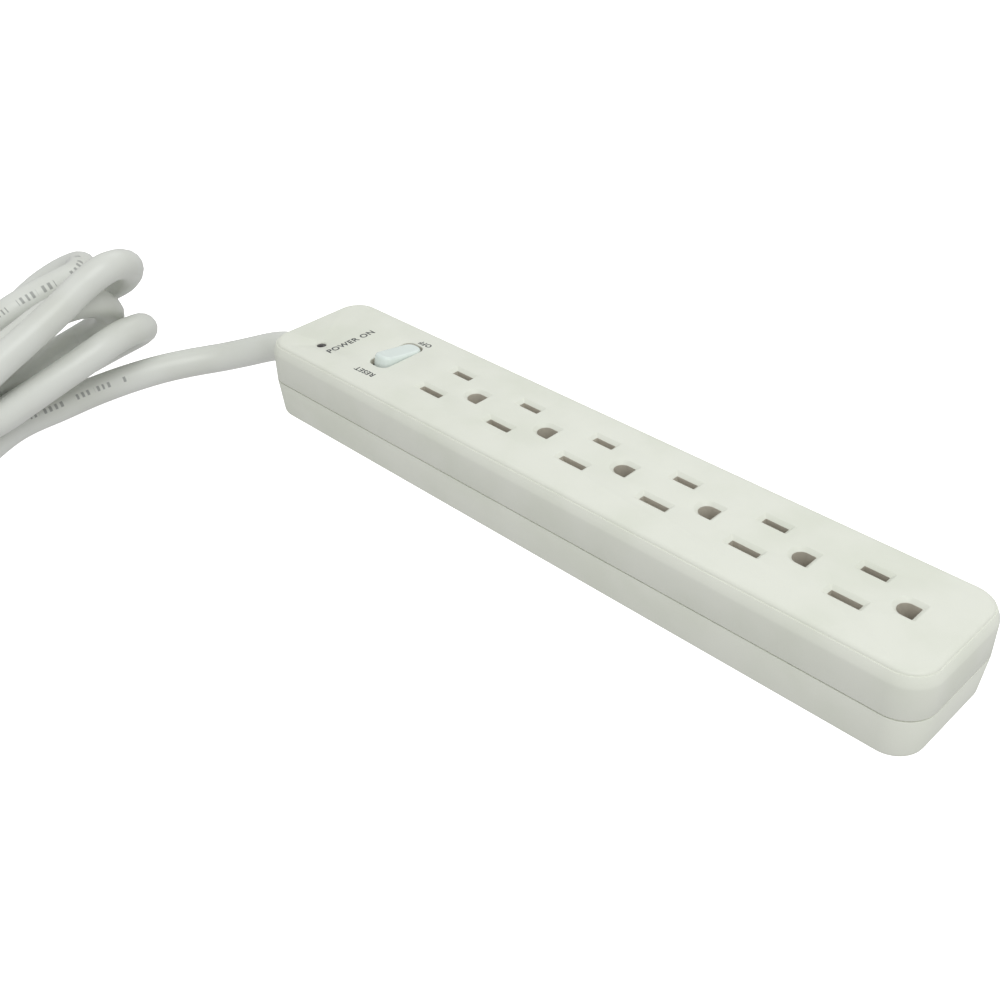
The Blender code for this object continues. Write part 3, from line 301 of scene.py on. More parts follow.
class STRIP_OT_stage(bpy.types.Operator):
    """Make the camera, the floor and the studio light"""
    bl_idname = "strip.stage"
    bl_label = "Stage"

    def execute(self, context):
        back = Vector((math.sin(AZIMUTH) * math.cos(ELEVATION),
                       -math.cos(AZIMUTH) * math.cos(ELEVATION), math.sin(ELEVATION)))
        across = Vector((0, 0, 1)).cross(back).normalized()
        up = back.cross(across)
        right = math.cos(ROLL) * across + math.sin(ROLL) * up
        above = -math.sin(ROLL) * across + math.cos(ROLL) * up
        data = bpy.data.cameras.new("camera")
        data.lens = FOCAL_MM
        data.clip_start = 0.01
        camera = bpy.data.objects.new("camera", data)
        camera.matrix_world = Matrix.Translation(CAMERA_PLACE) @ Matrix(
            (right, above, back)).transposed().to_4x4()
        context.scene.collection.objects.link(camera)
        context.scene.camera = camera
        context.scene.view_settings.view_transform = "Standard"

        world = bpy.data.worlds.new("studio")
        world.use_nodes = True
        world.node_tree.nodes["Background"].inputs["Color"].default_value = linear("#FFFFFF")
        world.node_tree.nodes["Background"].inputs["Strength"].default_value = SKY_STRENGTH
        context.scene.world = world

        bm = bmesh.new()
        bmesh.ops.create_grid(bm, x_segments=1, y_segments=1, size=FLOOR_HALF)
        mesh = bpy.data.meshes.new("floor")
        bm.to_mesh(mesh)
        bm.free()
        # Backdrop paper lit evenly from all sides: pure white, without shadows.
        paper, _, shader = new_material("lit_white_backdrop", linear("#FFFFFF"), 0.9)
        shader.inputs["Emission Color"].default_value = (1.0, 1.0, 1.0, 1.0)
        shader.inputs["Emission Strength"].default_value = 1.0
        mesh.materials.append(paper)
        floor = bpy.data.objects.new("floor", mesh)
        floor.visible_diffuse = False
        floor.visible_glossy = False
        context.scene.collection.objects.link(floor)

        for name, place, size, power in LIGHTS:
            light = bpy.data.lights.new(name, "AREA")
            light.size = size
            light.energy = power
            light.color = linear("#FCFFFB")[:3]
            lamp = bpy.data.objects.new(name, light)
            aim = Vector((0.0, 0.0, 0.0)) - Vector(place)
            lamp.matrix_world = (Matrix.Translation(place)
                                 @ aim.to_track_quat("-Z", "Y").to_matrix().to_4x4())
            context.scene.collection.objects.link(lamp)
        return {"FINISHED"}


# --- mains lead ---------------------------------------------------------------------------
TIE_PLACE = Vector((-0.1525, -0.1135, 0.0))
HANK_ALONG = Vector((math.cos(math.radians(-76.0)), math.sin(math.radians(-76.0)), 0.0))
HANK_ACROSS = Vector((-HANK_ALONG.y, HANK_ALONG.x, 0.0))
RUN_PITCH = 0.0100
LOWEST_RUN = 0.0062
LOOP_REACH = 0.070
LOOP_HALF = 0.0262
LEAD_IN = ((-0.1223, -0.0030, 0.0125), (-0.1250, -0.0030, 0.0124), (-0.1310, -0.0049, 0.0106),
           (-0.1392, -0.0098, 0.0075), (-0.1463, -0.0162, 0.0054), (-0.1513, -0.0237, 0.0049),
           (-0.1553, -0.0335, 0.0049), (-0.1579, -0.0455, 0.0049), (-0.1590, -0.0575, 0.0049),
           (-0.1587, -0.0700, 0.0049), (-0.1580, -0.0850, 0.0050))
FOLD_LOW = ((-0.1660, -0.0900, 0.0050), (-0.1720, -0.0730, 0.0050), (-0.1770, -0.0560, 0.0054),
            (-0.1760, -0.0400, 0.0082), (-0.1670, -0.0330, 0.0145), (-0.1570, -0.0375, 0.0212),
            (-0.1522, -0.0475, 0.0237), (-0.1508, -0.0560, 0.0225), (-0.1514, -0.0642, 0.0200),
            (-0.1507, -0.0784, 0.0170), (-0.1480, -0.0932, 0.0152))
FOLD_INNER = ((-0.1740, -0.0900, 0.0115), (-0.1850, -0.0700, 0.0060), (-0.1915, -0.0540, 0.0053),
              (-0.1900, -0.0420, 0.0085), (-0.1800, -0.0400, 0.0150), (-0.1670, -0.0420, 0.0250),
              (-0.1613, -0.0500, 0.0335), (-0.1620, -0.0620, 0.0345), (-0.1605, -0.0800, 0.0300))
FOLD_HIGH = ((-0.1680, -0.0880, 0.0215), (-0.1830, -0.0650, 0.0215), (-0.1885, -0.0480, 0.0225),
             (-0.1825, -0.0365, 0.0255), (-0.1705, -0.0325, 0.0330), (-0.1590, -0.0365, 0.0425),
             (-0.1545, -0.0450, 0.0460), (-0.1548, -0.0525, 0.0436), (-0.1528, -0.0644, 0.0392),
             (-0.1524, -0.0757, 0.0345), (-0.1512, -0.0871, 0.0305))
FOLD_BACK = ((-0.1710, -0.0880, 0.0305), (-0.1743, -0.0750, 0.0325), (-0.1745, -0.0645, 0.0350),
             (-0.1742, -0.0550, 0.0365), (-0.1765, -0.0460, 0.0365), (-0.1850, -0.0390, 0.0350),
             (-0.1955, -0.0390, 0.0310), (-0.2030, -0.0470, 0.0250), (-0.2030, -0.0590, 0.0190),
             (-0.1965, -0.0730, 0.0125), (-0.1840, -0.0900, 0.0068))
TAIL = ((-0.1771, -0.1745, 0.0049), (-0.1880, -0.1844, 0.0049), (-0.2050, -0.1890, 0.0049),
        (-0.2220, -0.1844, 0.0053), (-0.2344, -0.1720, 0.0075), (-0.2385, -0.1609, 0.0104),
        (-0.2390, -0.1520, 0.0123), (-0.2389, -0.1422, 0.0127))
PATH_STEP = 0.005
ROUND_STEPS = 6                              # smoothness of the lead's round section
PRINT_SIDE = (0.62, -0.55, 0.44)             # the side of the lead that the bars are on
PRINTED = ((0.061, 0.100), (1.478, 1.535))   # stretches of the lead that show the bars
PRINT_HALF_ANGLE = 0.27
# Each period of the bars and the share of it that is inked: strokes, words and phrases.
PRINT_RHYTHM = ((1.9 * MM, 0.50), (4.7 * MM, 0.78), (17 * MM, 0.76))
PRINT_STRENGTH = 0.62


def hank_spot(along, across, z):
    """A place near the tie, from distances along and across the hank."""
    return TIE_PLACE + HANK_ALONG * along + HANK_ACROSS * across + Vector((0, 0, z))


def tied(column, row):
    """Where a run passes through the tie."""
    return hank_spot(0.0, column * RUN_PITCH, LOWEST_RUN + row * RUN_PITCH)


def near_loop(start, end, extra, level, shift=0.0):
    """A run out of the tie, round the hank's near end and back in to the tie."""
    height = LOWEST_RUN + level * RUN_PITCH
    out = ((0.34, 0.50), (0.64, 0.95), (0.88, 0.78), (1.0, 0.0))
    points = [tied(*start)]
    for (column, row), side, steps in ((start, 1, out), (end, -1, out[2::-1])):
        for along, wide in steps:
            base = column * RUN_PITCH * (1 - along) ** 2
            drop = (row - level) * RUN_PITCH * 0.08 if along < 0.5 else 0.0
            points.append(hank_spot((LOOP_REACH + extra) * along,
                                    base + (side * LOOP_HALF + shift) * wide, height + drop))
    return points + [tied(*end)]


def lead_route():
    """The lead's points in order, from the case through the hank to the plug."""
    return [Vector(p) for p in (
        *LEAD_IN, *near_loop((1, 0), (0, 0), 0.0, 0, 0.005),
        *FOLD_LOW, *near_loop((1, 1), (-1, 1), 0.006, 1),
        *FOLD_INNER, *near_loop((0, 2), (0, 1), 0.001, 2),
        *FOLD_HIGH, *near_loop((1, 2), (-1, 2), 0.004, 3),
        *FOLD_BACK, tied(-1, 0), hank_spot(0.022, -0.0235, 0.0051),
        hank_spot(0.042, -0.0300, 0.0049), *TAIL)]


def smooth_path(knots, spacing):
    """Points about spacing apart on a centripetal Catmull-Rom curve through the knots."""
    ends = [knots[0] * 2 - knots[1]] + knots + [knots[-1] * 2 - knots[-2]]
    path = []
    for a, b, c, d in zip(ends, ends[1:], ends[2:], ends[3:]):
        t1 = (b - a).length ** 0.5
        t2 = t1 + (c - b).length ** 0.5
        t3 = t2 + (d - c).length ** 0.5
        count = max(1, round((c - b).length / spacing))
        for i in range(count):
            t = t1 + (t2 - t1) * i / count
            ab = a.lerp(b, t / t1)
            bc = b.lerp(c, (t - t1) / (t2 - t1))
            cd = c.lerp(d, (t - t2) / (t3 - t2))
            abc = ab.lerp(bc, t / t2)
            bcd = bc.lerp(cd, (t - t1) / (t3 - t1))
            path.append(abc.lerp(bcd, (t - t1) / (t2 - t1)))
    path.append(knots[-1])
    return path


def jacket_look():
    """Extruded vinyl jacket: smooth, softly glossy, with a row of small printed bars."""
    made, tree, shader = new_material("extruded_vinyl_jacket", linear("#DADCD7"), 0.33,
                                      Coat_Weight=0.15, Coat_Roughness=0.25)
    place = add_node(tree, "ShaderNodeTexCoord")
    clouds = add_node(tree, "ShaderNodeTexNoise", {}, {"Scale": 1 / (25 * MM), "Detail": 3.0},
                      {"Vector": (place, "Object")})
    hue = ramp_between(tree, (clouds, "Fac"), linear("#E1E3DE"), linear("#D8DAD3"), 0.35, 0.75)
    along = add_node(tree, "ShaderNodeAttribute", {"attribute_name": "along"})
    facing = add_node(tree, "ShaderNodeAttribute", {"attribute_name": "facing"})

    def compute(operation, first, second):
        """One arithmetic step between a (node, socket) and a number or another of the same."""
        step = add_node(tree, "ShaderNodeMath", {"operation": operation})
        for index, value in enumerate((first, second)):
            if isinstance(value, tuple):
                tree.links.new(value[0].outputs[value[1]], step.inputs[index])
            else:
                step.inputs[index].default_value = value
        return step, "Value"

    marks = compute("GREATER_THAN", (facing, "Fac"), math.cos(PRINT_HALF_ANGLE))
    for period, share in PRINT_RHYTHM:
        place_in = compute("MODULO", (along, "Fac"), period)
        marks = compute("MULTIPLY", marks, compute("LESS_THAN", place_in, period * share))
    faint = compute("MULTIPLY", marks, PRINT_STRENGTH)
    ink = add_node(tree, "ShaderNodeMix", {"data_type": "RGBA"}, {}, {"Factor": faint})
    tree.links.new(hue.outputs[2], ink.inputs[6])
    ink.inputs[7].default_value = linear("#6E7071")
    tree.links.new(ink.outputs[2], shader.inputs["Base Color"])
    ripple = add_node(tree, "ShaderNodeTexNoise", {}, {"Scale": 1 / (4 * MM), "Detail": 2.0},
                      {"Vector": (place, "Object")})
    bump = add_node(tree, "ShaderNodeBump", {}, {"Strength": 0.25, "Distance": 0.12 * MM},
                    {"Height": (ripple, "Fac")})
    tree.links.new(bump.outputs["Normal"], shader.inputs["Normal"])
    return made


class STRIP_OT_lead(bpy.types.Operator):
    """Make the mains lead: in to the hank, its folded runs and out to the plug"""
    bl_idname = "strip.lead"
    bl_label = "Mains lead"

    def execute(self, context):
        path = smooth_path(lead_route(), PATH_STEP)
        data = bpy.data.curves.new("mains_lead_line", "CURVE")
        data.dimensions = "3D"
        data.bevel_depth = settings().cord_diameter / 2
        data.bevel_resolution = ROUND_STEPS
        data.use_fill_caps = False
        data.resolution_u = 3
        line = data.splines.new("NURBS")
        line.points.add(len(path) - 1)
        for spot, point in zip(line.points, path):
            spot.co = (*point, 1.0)
        line.order_u = 3
        line.use_endpoint_u = True
        source = bpy.data.objects.new("mains_lead_line", data)
        context.scene.collection.objects.link(source)
        context.view_layer.update()
        mesh = bpy.data.meshes.new_from_object(source.evaluated_get(
            context.evaluated_depsgraph_get()))
        mesh.name = "mains_lead"
        bpy.data.objects.remove(source)

        count = 4 + 2 * ROUND_STEPS
        places = np.array([v.co[:] for v in mesh.vertices]).reshape(-1, count, 3)
        centres = places.mean(axis=1)
        steps = np.linalg.norm(np.diff(centres, axis=0), axis=1)
        along = np.concatenate(([0.0], np.cumsum(steps)))
        heading = np.gradient(centres, axis=0)
        heading /= np.linalg.norm(heading, axis=1)[:, None]
        printed = np.array(PRINT_SIDE) - (heading @ np.array(PRINT_SIDE))[:, None] * heading
        printed /= np.linalg.norm(printed, axis=1)[:, None]
        outward = (places - centres[:, None, :]) / (settings().cord_diameter / 2)
        facing = (outward * printed[:, None, :]).sum(axis=2)
        shown = sum(((along > a) & (along < b)) for a, b in PRINTED)
        facing = np.where(shown[:, None] > 0, facing, -1.0)
        for name, values in (("along", np.repeat(along, count)), ("facing", facing.ravel())):
            layer = mesh.attributes.new(name, "FLOAT", "POINT")
            layer.data.foreach_set("value", values.astype(np.float32))
        for face in mesh.polygons:
            face.use_smooth = True
        mesh.materials.clear()
        mesh.materials.append(jacket_look())
        lead = bpy.data.objects.new("mains_lead", mesh)
        context.scene.collection.objects.link(lead)
        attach(lead, "strip")
        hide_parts("cord_tube", "cord_hank", "cord_tail")
        context.scene["lead_path"] = [float(c) for p in centres for c in p]
        return {"FINISHED"}


class STRIP_OT_tie(bpy.types.Operator):
    """Make the tie round the middle of the hank, with its twisted ends"""
    bl_idname = "strip.tie"
    bl_label = "Tie"

    def execute(self, context):
        # Vinyl-coated wire: black with a dull sheen.
        look = moulded("coated_wire_tie", "#1C1D1E", "#26282A", 0.45, 0.8, 0.4)
        band = 2.2               # mm, half the width of the band
        wire_radius = 0.75 * MM
        bends = 12
        half = RUN_PITCH + settings().cord_diameter / 2 + 0.4 * MM
        middle = LOWEST_RUN + RUN_PITCH
        bm = bmesh.new()
        rings = []
        for along, offset in ((-band, 0.0), (-band, 0.7), (0.0, 1.0), (band, 0.7), (band, 0.0)):
            loop = rounded_points(half, half, 4.6 * MM, offset=offset * MM, steps=6)
            rings.append(ring(bm, [hank_spot(along * MM, a, middle + b) for a, b, _ in loop]))
        for a, b in zip(rings, rings[1:] + rings[:1]):
            bmesh.ops.bridge_loops(bm, edges=a + b)
        bmesh.ops.recalc_face_normals(bm, faces=bm.faces)
        top = middle + half + 1.2 * MM
        for turn in (0.0, math.pi):
            knots = []
            for i in range(bends + 1):
                t = i / bends
                swing = turn + t * 3 * math.pi
                wide = (0.9 + 5.0 * max(0.0, t - 0.6)) * MM
                knots.append(hank_spot(wide * math.cos(swing), (t * 14 - 2) * MM,
                                       top + (0.6 + 3.0 * t) * MM + wide * 0.6 * math.sin(swing)))
            sweep(bm, smooth_path(knots, 1.2 * MM), wire_radius)
        finish_piece("hank_tie", bm, look, stands_for=("cord_tie",))
        return {"FINISHED"}


# --- plug ---------------------------------------------------------------------------------
PLUG_HEADING = math.radians(90.0)
PLUG_PLACE = Vector(TAIL[-1])
PLUG_TURN = Matrix.Translation(PLUG_PLACE) @ Matrix.Rotation(PLUG_HEADING, 4, "Z")


class STRIP_OT_plug(bpy.types.Operator):
    """Make the moulded plug body and the ribbed sleeves at both ends of the lead"""
    bl_idname = "strip.plug"
    bl_label = "Plug and sleeves"

    def execute(self, context):
        # Distance along the plug, half width, half height and corner radius, in mm.
        stations = ((20.6, 6.2, 6.2, 5.6), (20.8, 6.7, 6.7, 6.0), (28.0, 8.9, 8.4, 6.2),
                    (36.0, 12.0, 11.2, 5.6), (38.6, 12.9, 12.0, 5.0), (41.0, 13.5, 12.5, 4.6),
                    (44.0, 13.5, 12.5, 4.6), (44.6, 13.0, 12.0, 4.2), (46.4, 13.0, 12.0, 4.2),
                    (47.0, 13.5, 12.5, 4.6), (57.4, 13.5, 12.5, 4.6), (58.2, 13.3, 12.3, 4.4),
                    (58.6, 12.7, 11.7, 4.0))
        bm = bmesh.new()
        loops = [[PLUG_TURN @ Vector((x * MM, y, z)) for y, z, _ in
                  rounded_points(half_y * MM, half_z * MM, radius * MM, steps=8)]
                 for x, half_y, half_z, radius in stations]
        first, last = loft(bm, loops)
        for end in (first, last):
            bmesh.ops.edgeloop_fill(bm, edges=end)
        bmesh.ops.recalc_face_normals(bm, faces=bm.faces)
        finish_piece("plug_moulding", bm, vinyl_look(), stands_for=("plug_body",))
        axis = Vector((math.cos(PLUG_HEADING), math.sin(PLUG_HEADING), 0.0))
        # Profiles of the sleeves: distance along and radius, in mm.
        rib_count, rib_pitch, widening = 6, 3.2, 0.17
        ribs = [(0.3, 0.0), (0.3, 5.1)]
        for i in range(rib_count):
            start = 0.8 + i * rib_pitch
            high = 5.3 + i * widening
            ribs += [(start, high), (start + 1.9, high + 0.1), (start + 2.2, high - 0.5),
                     (start + 2.9, high - 0.45)]
        ribs += [(20.2, 6.2), (20.3, 0.0)]
        bm = spun([(a * MM, r * MM) for a, r in ribs], PLUG_PLACE, axis)
        finish_piece("plug_sleeve", bm, vinyl_look(), sharp=50.0,
                     stands_for=("plug_strain_relief",))
        low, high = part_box("strain_relief")
        centre = (low[0], (low[1] + high[1]) / 2, (low[2] + high[2]) / 2)
        nose = [(0.0, 0.0), (0.0, 5.0), (0.25, 5.12), (1.6, 5.25), (1.9, 5.0), (2.6, 5.0),
                (2.9, 5.4), (4.3, 5.6), (4.6, 5.25), (5.3, 5.3), (5.6, 5.8), (7.7, 6.1), (7.7, 5.5),
                (10.3, 5.5), (10.3, 7.0), (12.3, 7.0), (12.3, 5.2), (24.5, 5.2), (24.5, 0.0)]
        bm = spun([(a * MM, r * MM) for a, r in nose], centre, (1, 0, 0))
        finish_piece("entry_sleeve", bm, vinyl_look(), sharp=50.0, stands_for=("strain_relief",))
        # Nickel plate on brass: warm silver, fairly bright.
        nickel = metal("nickel_plated_brass", "#C9C5BA", "#A8A397", 0.28, 3.0)
        dress(nickel, "plug_hot_blade", "plug_neutral_blade", "plug_earth_pin")
        return {"FINISHED"}


# --- case ---------------------------------------------------------------------------------
CORNER = 8.7 * MM
SHOULDER = 24.35             # mm, height where the raised top's rounding begins
CEILING = 23.2               # mm, underside of the top cover's sheet
HOLE_BOTTOM = 18.6           # mm, how far down an outlet's hole goes
HOLE_MARGIN = 3 * MM         # every hole lies at least this far inside the case's outline
FOOT_INSET = 1.0             # mm, how much the lower cover narrows towards its foot
FOOT_ROUND = 1.5             # mm, rounding of the foot
WELL_RADIUS = 2.62 * MM
WELL_DEPTH = 3.75            # mm, just past the back of the screw's head
KEYHOLE_DEPTH = 4.5          # mm
OUTLETS = [(-51.5 + 27.46 * i) * MM for i in range(6)]
OUTLET_Y = 1.0 * MM
BLADE_LINE = 6.35 * MM
SLOTS = ((8.2, -1), (6.7, 1))
GROUND_X = 11.9 * MM
WINDOW = (PIVOT.x, PIVOT.y)
WINDOW_HALF = (3.8 * MM, 8.65 * MM)
ROCKER_REST = math.radians(-9.6)
LAMP = (-97.1 * MM, -9.5 * MM)
SCREWS = [(x * MM, y * side * MM) for x, y in ((-106.5, 12.5), (3.5, 14.6), (106.5, 12.5))
          for side in (-1, 1)]
KEYHOLES = (-45.0 * MM, 75.0 * MM)


def case_loops(steps):
    """Loops round the case from (inset in mm, height in mm) pairs."""
    half_x = TOP_HIGH.x
    half_y = TOP_HIGH.y
    return [rounded_points(half_x, half_y, CORNER, offset=-inset * MM, z=z * MM)
            for inset, z in steps]


def rectangle(length, width, steps=5):
    """A rectangle's outline about the origin with slightly rounded corners."""
    return [(x, y) for x, y, _ in rounded_points(length / 2, width / 2, 0.22 * MM, steps=steps)]


def ground_outline():
    """Round towards -X and flat towards +X."""
    radius = 2.45 * MM
    points = [(radius * math.cos(math.radians(a)), radius * math.sin(math.radians(a)))
              for a in range(90, 271, 9)]
    return points + [(2.3 * MM, -radius), (2.5 * MM, -2.25 * MM), (2.5 * MM, 2.25 * MM),
                     (2.3 * MM, radius)]


class STRIP_OT_top_cover(bpy.types.Operator):
    """Make the upper cover with its raised top, outlets, rocker window and lamp hole"""
    bl_idname = "strip.top_cover"
    bl_label = "Upper cover"

    def execute(self, context):
        border = settings().border / MM
        depth = settings().border_depth / MM
        round_mm = settings().edge_radius / MM
        top = TOP_HIGH.z / MM
        step = top - SHOULDER
        rounding = [(1.40 + round_mm * (1 - math.cos(a)), SHOULDER + step * math.sin(a))
                    for a in (math.radians(d) for d in (0, 18, 36, 54, 72, 90))]
        outside = [(2.0, CEILING), (2.0, 12.65), (0.40, 12.55), (0.08, 12.62), (0.0, 12.8),
                   (0.0, 21.4), (0.03, 21.8), (0.16, 22.25), (1.00, 24.22), (1.12, 24.33),
                   (1.28, 24.30), *rounding]
        bm = bmesh.new()
        inner, outer = loft(bm, case_loops(outside))
        ceiling = list(inner)
        upper = list(outer)
        deck = top - depth
        cut = [(border + 0.06, top), (border - 0.05, top - 0.02), (border - 0.16, top - 0.09),
               (0.06, deck + 0.07), (0.0, deck), (0.0, deck - 0.10), (0.0, HOLE_BOTTOM),
               (0.8, HOLE_BOTTOM), (0.8, CEILING)]
        for x in OUTLETS:
            shapes = [(rectangle(length * MM, 2.0 * MM), (x, OUTLET_Y + side * BLADE_LINE))
                      for length, side in SLOTS]
            shapes.append((ground_outline(), (x + GROUND_X, OUTLET_Y)))
            for outline, centre in shapes:
                a, b = loft(bm, [grown(outline, centre, offset * MM, z * MM) for offset, z in cut])
                upper += a
                ceiling += b
        window = [(0.30, top), (0.16, top - 0.03), (0.05, top - 0.12), (0.0, top - 0.30),
                  (0.0, CEILING)]
        loops = [rounded_points(*WINDOW_HALF, 2.6 * MM, WINDOW, offset * MM, z * MM, 8)
                 for offset, z in window]
        a, b = loft(bm, loops)
        upper += a
        ceiling += b
        hole = [(0.40, top), (0.30, top - 0.06), (0.05, top - 0.33), (0.0, top - 0.40),
                (0.0, CEILING)]
        loops = [rounded_points(1.45 * MM, 1.45 * MM, 1.449 * MM, LAMP, offset * MM, z * MM, 8)
                 for offset, z in hole]
        a, b = loft(bm, loops)
        upper += a
        ceiling += b
        fill(bm, upper)
        fill(bm, ceiling)
        bmesh.ops.remove_doubles(bm, verts=bm.verts, dist=0.002 * MM)
        bmesh.ops.recalc_face_normals(bm, faces=bm.faces)
        # Painted shade: the case's ABS made browner and darker so that the holes look deep.
        shade = moulded("abs_painted_shade_hole_wall", "#CFC9BD", "#C0BAAE", 0.6, 0.5, 0.3)
        made = finish_piece("upper_cover", bm, case_look(), sharp=32.0, stands_for=("top_cover",))
        made.data.materials.append(shade)
        # Walls inside the holes, below the sunken border, take the painted shade.
        for face in made.data.polygons:
            x, y, z = face.center
            if (z < TOP_HIGH.z - settings().border_depth and abs(y) < TOP_HIGH.y - HOLE_MARGIN
                    and abs(x) < TOP_HIGH.x - HOLE_MARGIN):
                face.material_index = 1
        return {"FINISHED"}


class STRIP_OT_bottom_cover(bpy.types.Operator):
    """Make the lower cover with its screw wells and keyholes"""
    bl_idname = "strip.bottom_cover"
    bl_label = "Lower cover"

    def execute(self, context):
        outside = [(2.0, 12.2), (0.40, 12.25), (0.08, 12.18), (0.0, 12.0)]
        outside += [(FOOT_INSET + FOOT_ROUND * (1 - math.cos(a)), FOOT_ROUND * (1 - math.sin(a)))
                    for a in (math.radians(d) for d in (0, 15, 30, 45, 60, 75, 90))]
        bm = bmesh.new()
        sole = loft(bm, case_loops(outside))[1]
        inside_floor = loft(bm, case_loops([(2.0, 12.2), (2.6, 3.0), (3.6, 2.0)]))[1]
        bmesh.ops.edgeloop_fill(bm, edges=inside_floor)
        flat = list(sole)
        well = [(0.15, 0.0), (0.08, 0.04), (0.0, 0.12), (0.0, WELL_DEPTH)]
        for place in SCREWS:
            loops = [rounded_points(WELL_RADIUS, WELL_RADIUS, WELL_RADIUS - 0.001 * MM, place,
                                    offset * MM, z * MM, 6) for offset, z in well]
            a, b = loft(bm, loops)
            flat += a
            bmesh.ops.edgeloop_fill(bm, edges=b)
        for x in KEYHOLES:
            outline = keyhole_outline()
            loops = [[(x + px * scale * MM, py * scale * MM, z * MM) for px, py in outline]
                     for scale, z in ((1.02, 0.0), (1.0, 0.15), (1.0, KEYHOLE_DEPTH))]
            a, b = loft(bm, loops)
            flat += a
            bmesh.ops.edgeloop_fill(bm, edges=b)
        fill(bm, flat)
        bmesh.ops.remove_doubles(bm, verts=bm.verts, dist=0.002 * MM)
        bmesh.ops.recalc_face_normals(bm, faces=bm.faces)
        finish_piece("lower_cover", bm, case_look(), sharp=32.0, stands_for=("bottom_cover",))
        return {"FINISHED"}


def keyhole_outline():
    """A round head hole with a narrow slot towards +X, in mm."""
    head, slot, travel = 4.2, 2.1, 7.0
    start = math.degrees(math.asin(slot / head))
    points = [(head * math.cos(math.radians(a)), head * math.sin(math.radians(a)))
              for a in np.linspace(start, 360 - start, 28)]
    points += [(travel + slot * math.cos(math.radians(a)), slot * math.sin(math.radians(a)))
               for a in np.linspace(-90, 90, 11)]
    return points


class STRIP_OT_rocker(bpy.types.Operator):
    """Make the rocker's dished button, in its place at rest"""
    bl_idname = "strip.rocker"
    bl_label = "Rocker"

    def execute(self, context):
        half_x, half_y, corner = 3.5, 7.61, 3.0
        rise, dish = 5.0, 0.6
        lean = 0.146             # mm, how much the ends spread for each mm below the top
        # Inset of each loop, and its height below the dished top or above the pivot, in mm.
        profile = [(0.9, None, -2.2), (0.0, None, -2.2), (0.0, None, 2.4), (0.0, -0.95, None),
                   (0.05, -0.66, None), (0.18, -0.38, None), (0.40, -0.17, None),
                   (0.68, -0.04, None), (1.0, 0.0, None), (1.7, 0.0, None), (2.4, 0.0, None)]
        loops = []
        for inset, below, level in profile:
            points = rounded_points(half_x, half_y, corner, offset=-inset, steps=10)
            loop = []
            for x, y, _ in points:
                crown = rise - dish * (1 - (y / half_y) ** 2)
                z = level if level is not None else crown + below
                grow = 1 + min(rise - z, rise / 2) * lean / half_y
                loop.append((x * MM, y * grow * MM, z * MM))
            loops.append(loop)
        bm = bmesh.new()
        first, last = loft(bm, loops)
        for end in (first, last):
            bmesh.ops.edgeloop_fill(bm, edges=end)
        bmesh.ops.remove_doubles(bm, verts=bm.verts, dist=0.002 * MM)
        bmesh.ops.recalc_face_normals(bm, faces=bm.faces)
        bmesh.ops.transform(bm, verts=bm.verts, matrix=Matrix.Translation(PIVOT)
                            @ Matrix.Rotation(ROCKER_REST, 4, "X"))
        # Moulded polycarbonate: a cooler white than the case, and shinier.
        look = moulded("polycarbonate_gloss", "#E6F0EC", "#E0EAE6", 0.24, 0.9, 0.12,
                       Coat_Weight=0.2, Coat_Roughness=0.15)
        finish_piece("rocker_cap", bm, look, body="rocker", sharp=45.0,
                     stands_for=("rocker_button",))
        return {"FINISHED"}


# Each word, its corner in mm, its turn in degrees and its height in mm.
WORDS = (("POWER ON", (-90.7, -11.3), 90.0, 2.3), ("RESET", (-70.1, -10.4), 183.0, 1.95),
         ("OFF", (-70.7, 13.0), 183.0, 1.85))
TYPE_SIZE = 1.38             # type size for each unit of a capital's height
INK_HALF = 0.012 * MM
INK_SPREAD = 0.085 * MM


class STRIP_OT_print(bpy.types.Operator):
    """Print the plain words beside the lamp and the rocker"""
    bl_idname = "strip.words"
    bl_label = "Printing"

    def execute(self, context):
        # Pad-printed ink: dark grey, thinner in places.
        ink, tree, shader = new_material("pad_printed_ink", settings().print_colour, 0.5)
        place = add_node(tree, "ShaderNodeTexCoord")
        worn = add_node(tree, "ShaderNodeTexNoise", {}, {"Scale": 1 / (0.6 * MM), "Detail": 3.0},
                        {"Vector": (place, "Object")})
        hue = ramp_between(tree, (worn, "Fac"), tuple(settings().print_colour),
                           linear("#8B8F8E"), 0.45, 0.8)
        tree.links.new(hue.outputs[2], shader.inputs["Base Color"])
        for text, (x, y), turn, high in WORDS:
            data = bpy.data.curves.new(text, "FONT")
            data.body = text
            data.size = high * MM * TYPE_SIZE
            data.space_character = 1.12
            data.extrude = INK_HALF
            data.offset = INK_SPREAD
            source = bpy.data.objects.new(text, data)
            context.scene.collection.objects.link(source)
            context.view_layer.update()
            mesh = bpy.data.meshes.new_from_object(source.evaluated_get(
                context.evaluated_depsgraph_get()))
            bpy.data.objects.remove(source)
            mesh.transform(Matrix.Translation((x * MM, y * MM, TOP_HIGH.z - 0.004 * MM))
                           @ Matrix.Rotation(math.radians(turn), 4, "Z"))
            mesh.materials.clear()
            mesh.materials.append(ink)
            made = bpy.data.objects.new("word_" + text.lower().replace(" ", "_"), mesh)
            context.scene.collection.objects.link(made)
            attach(made, "strip")
        return {"FINISHED"}


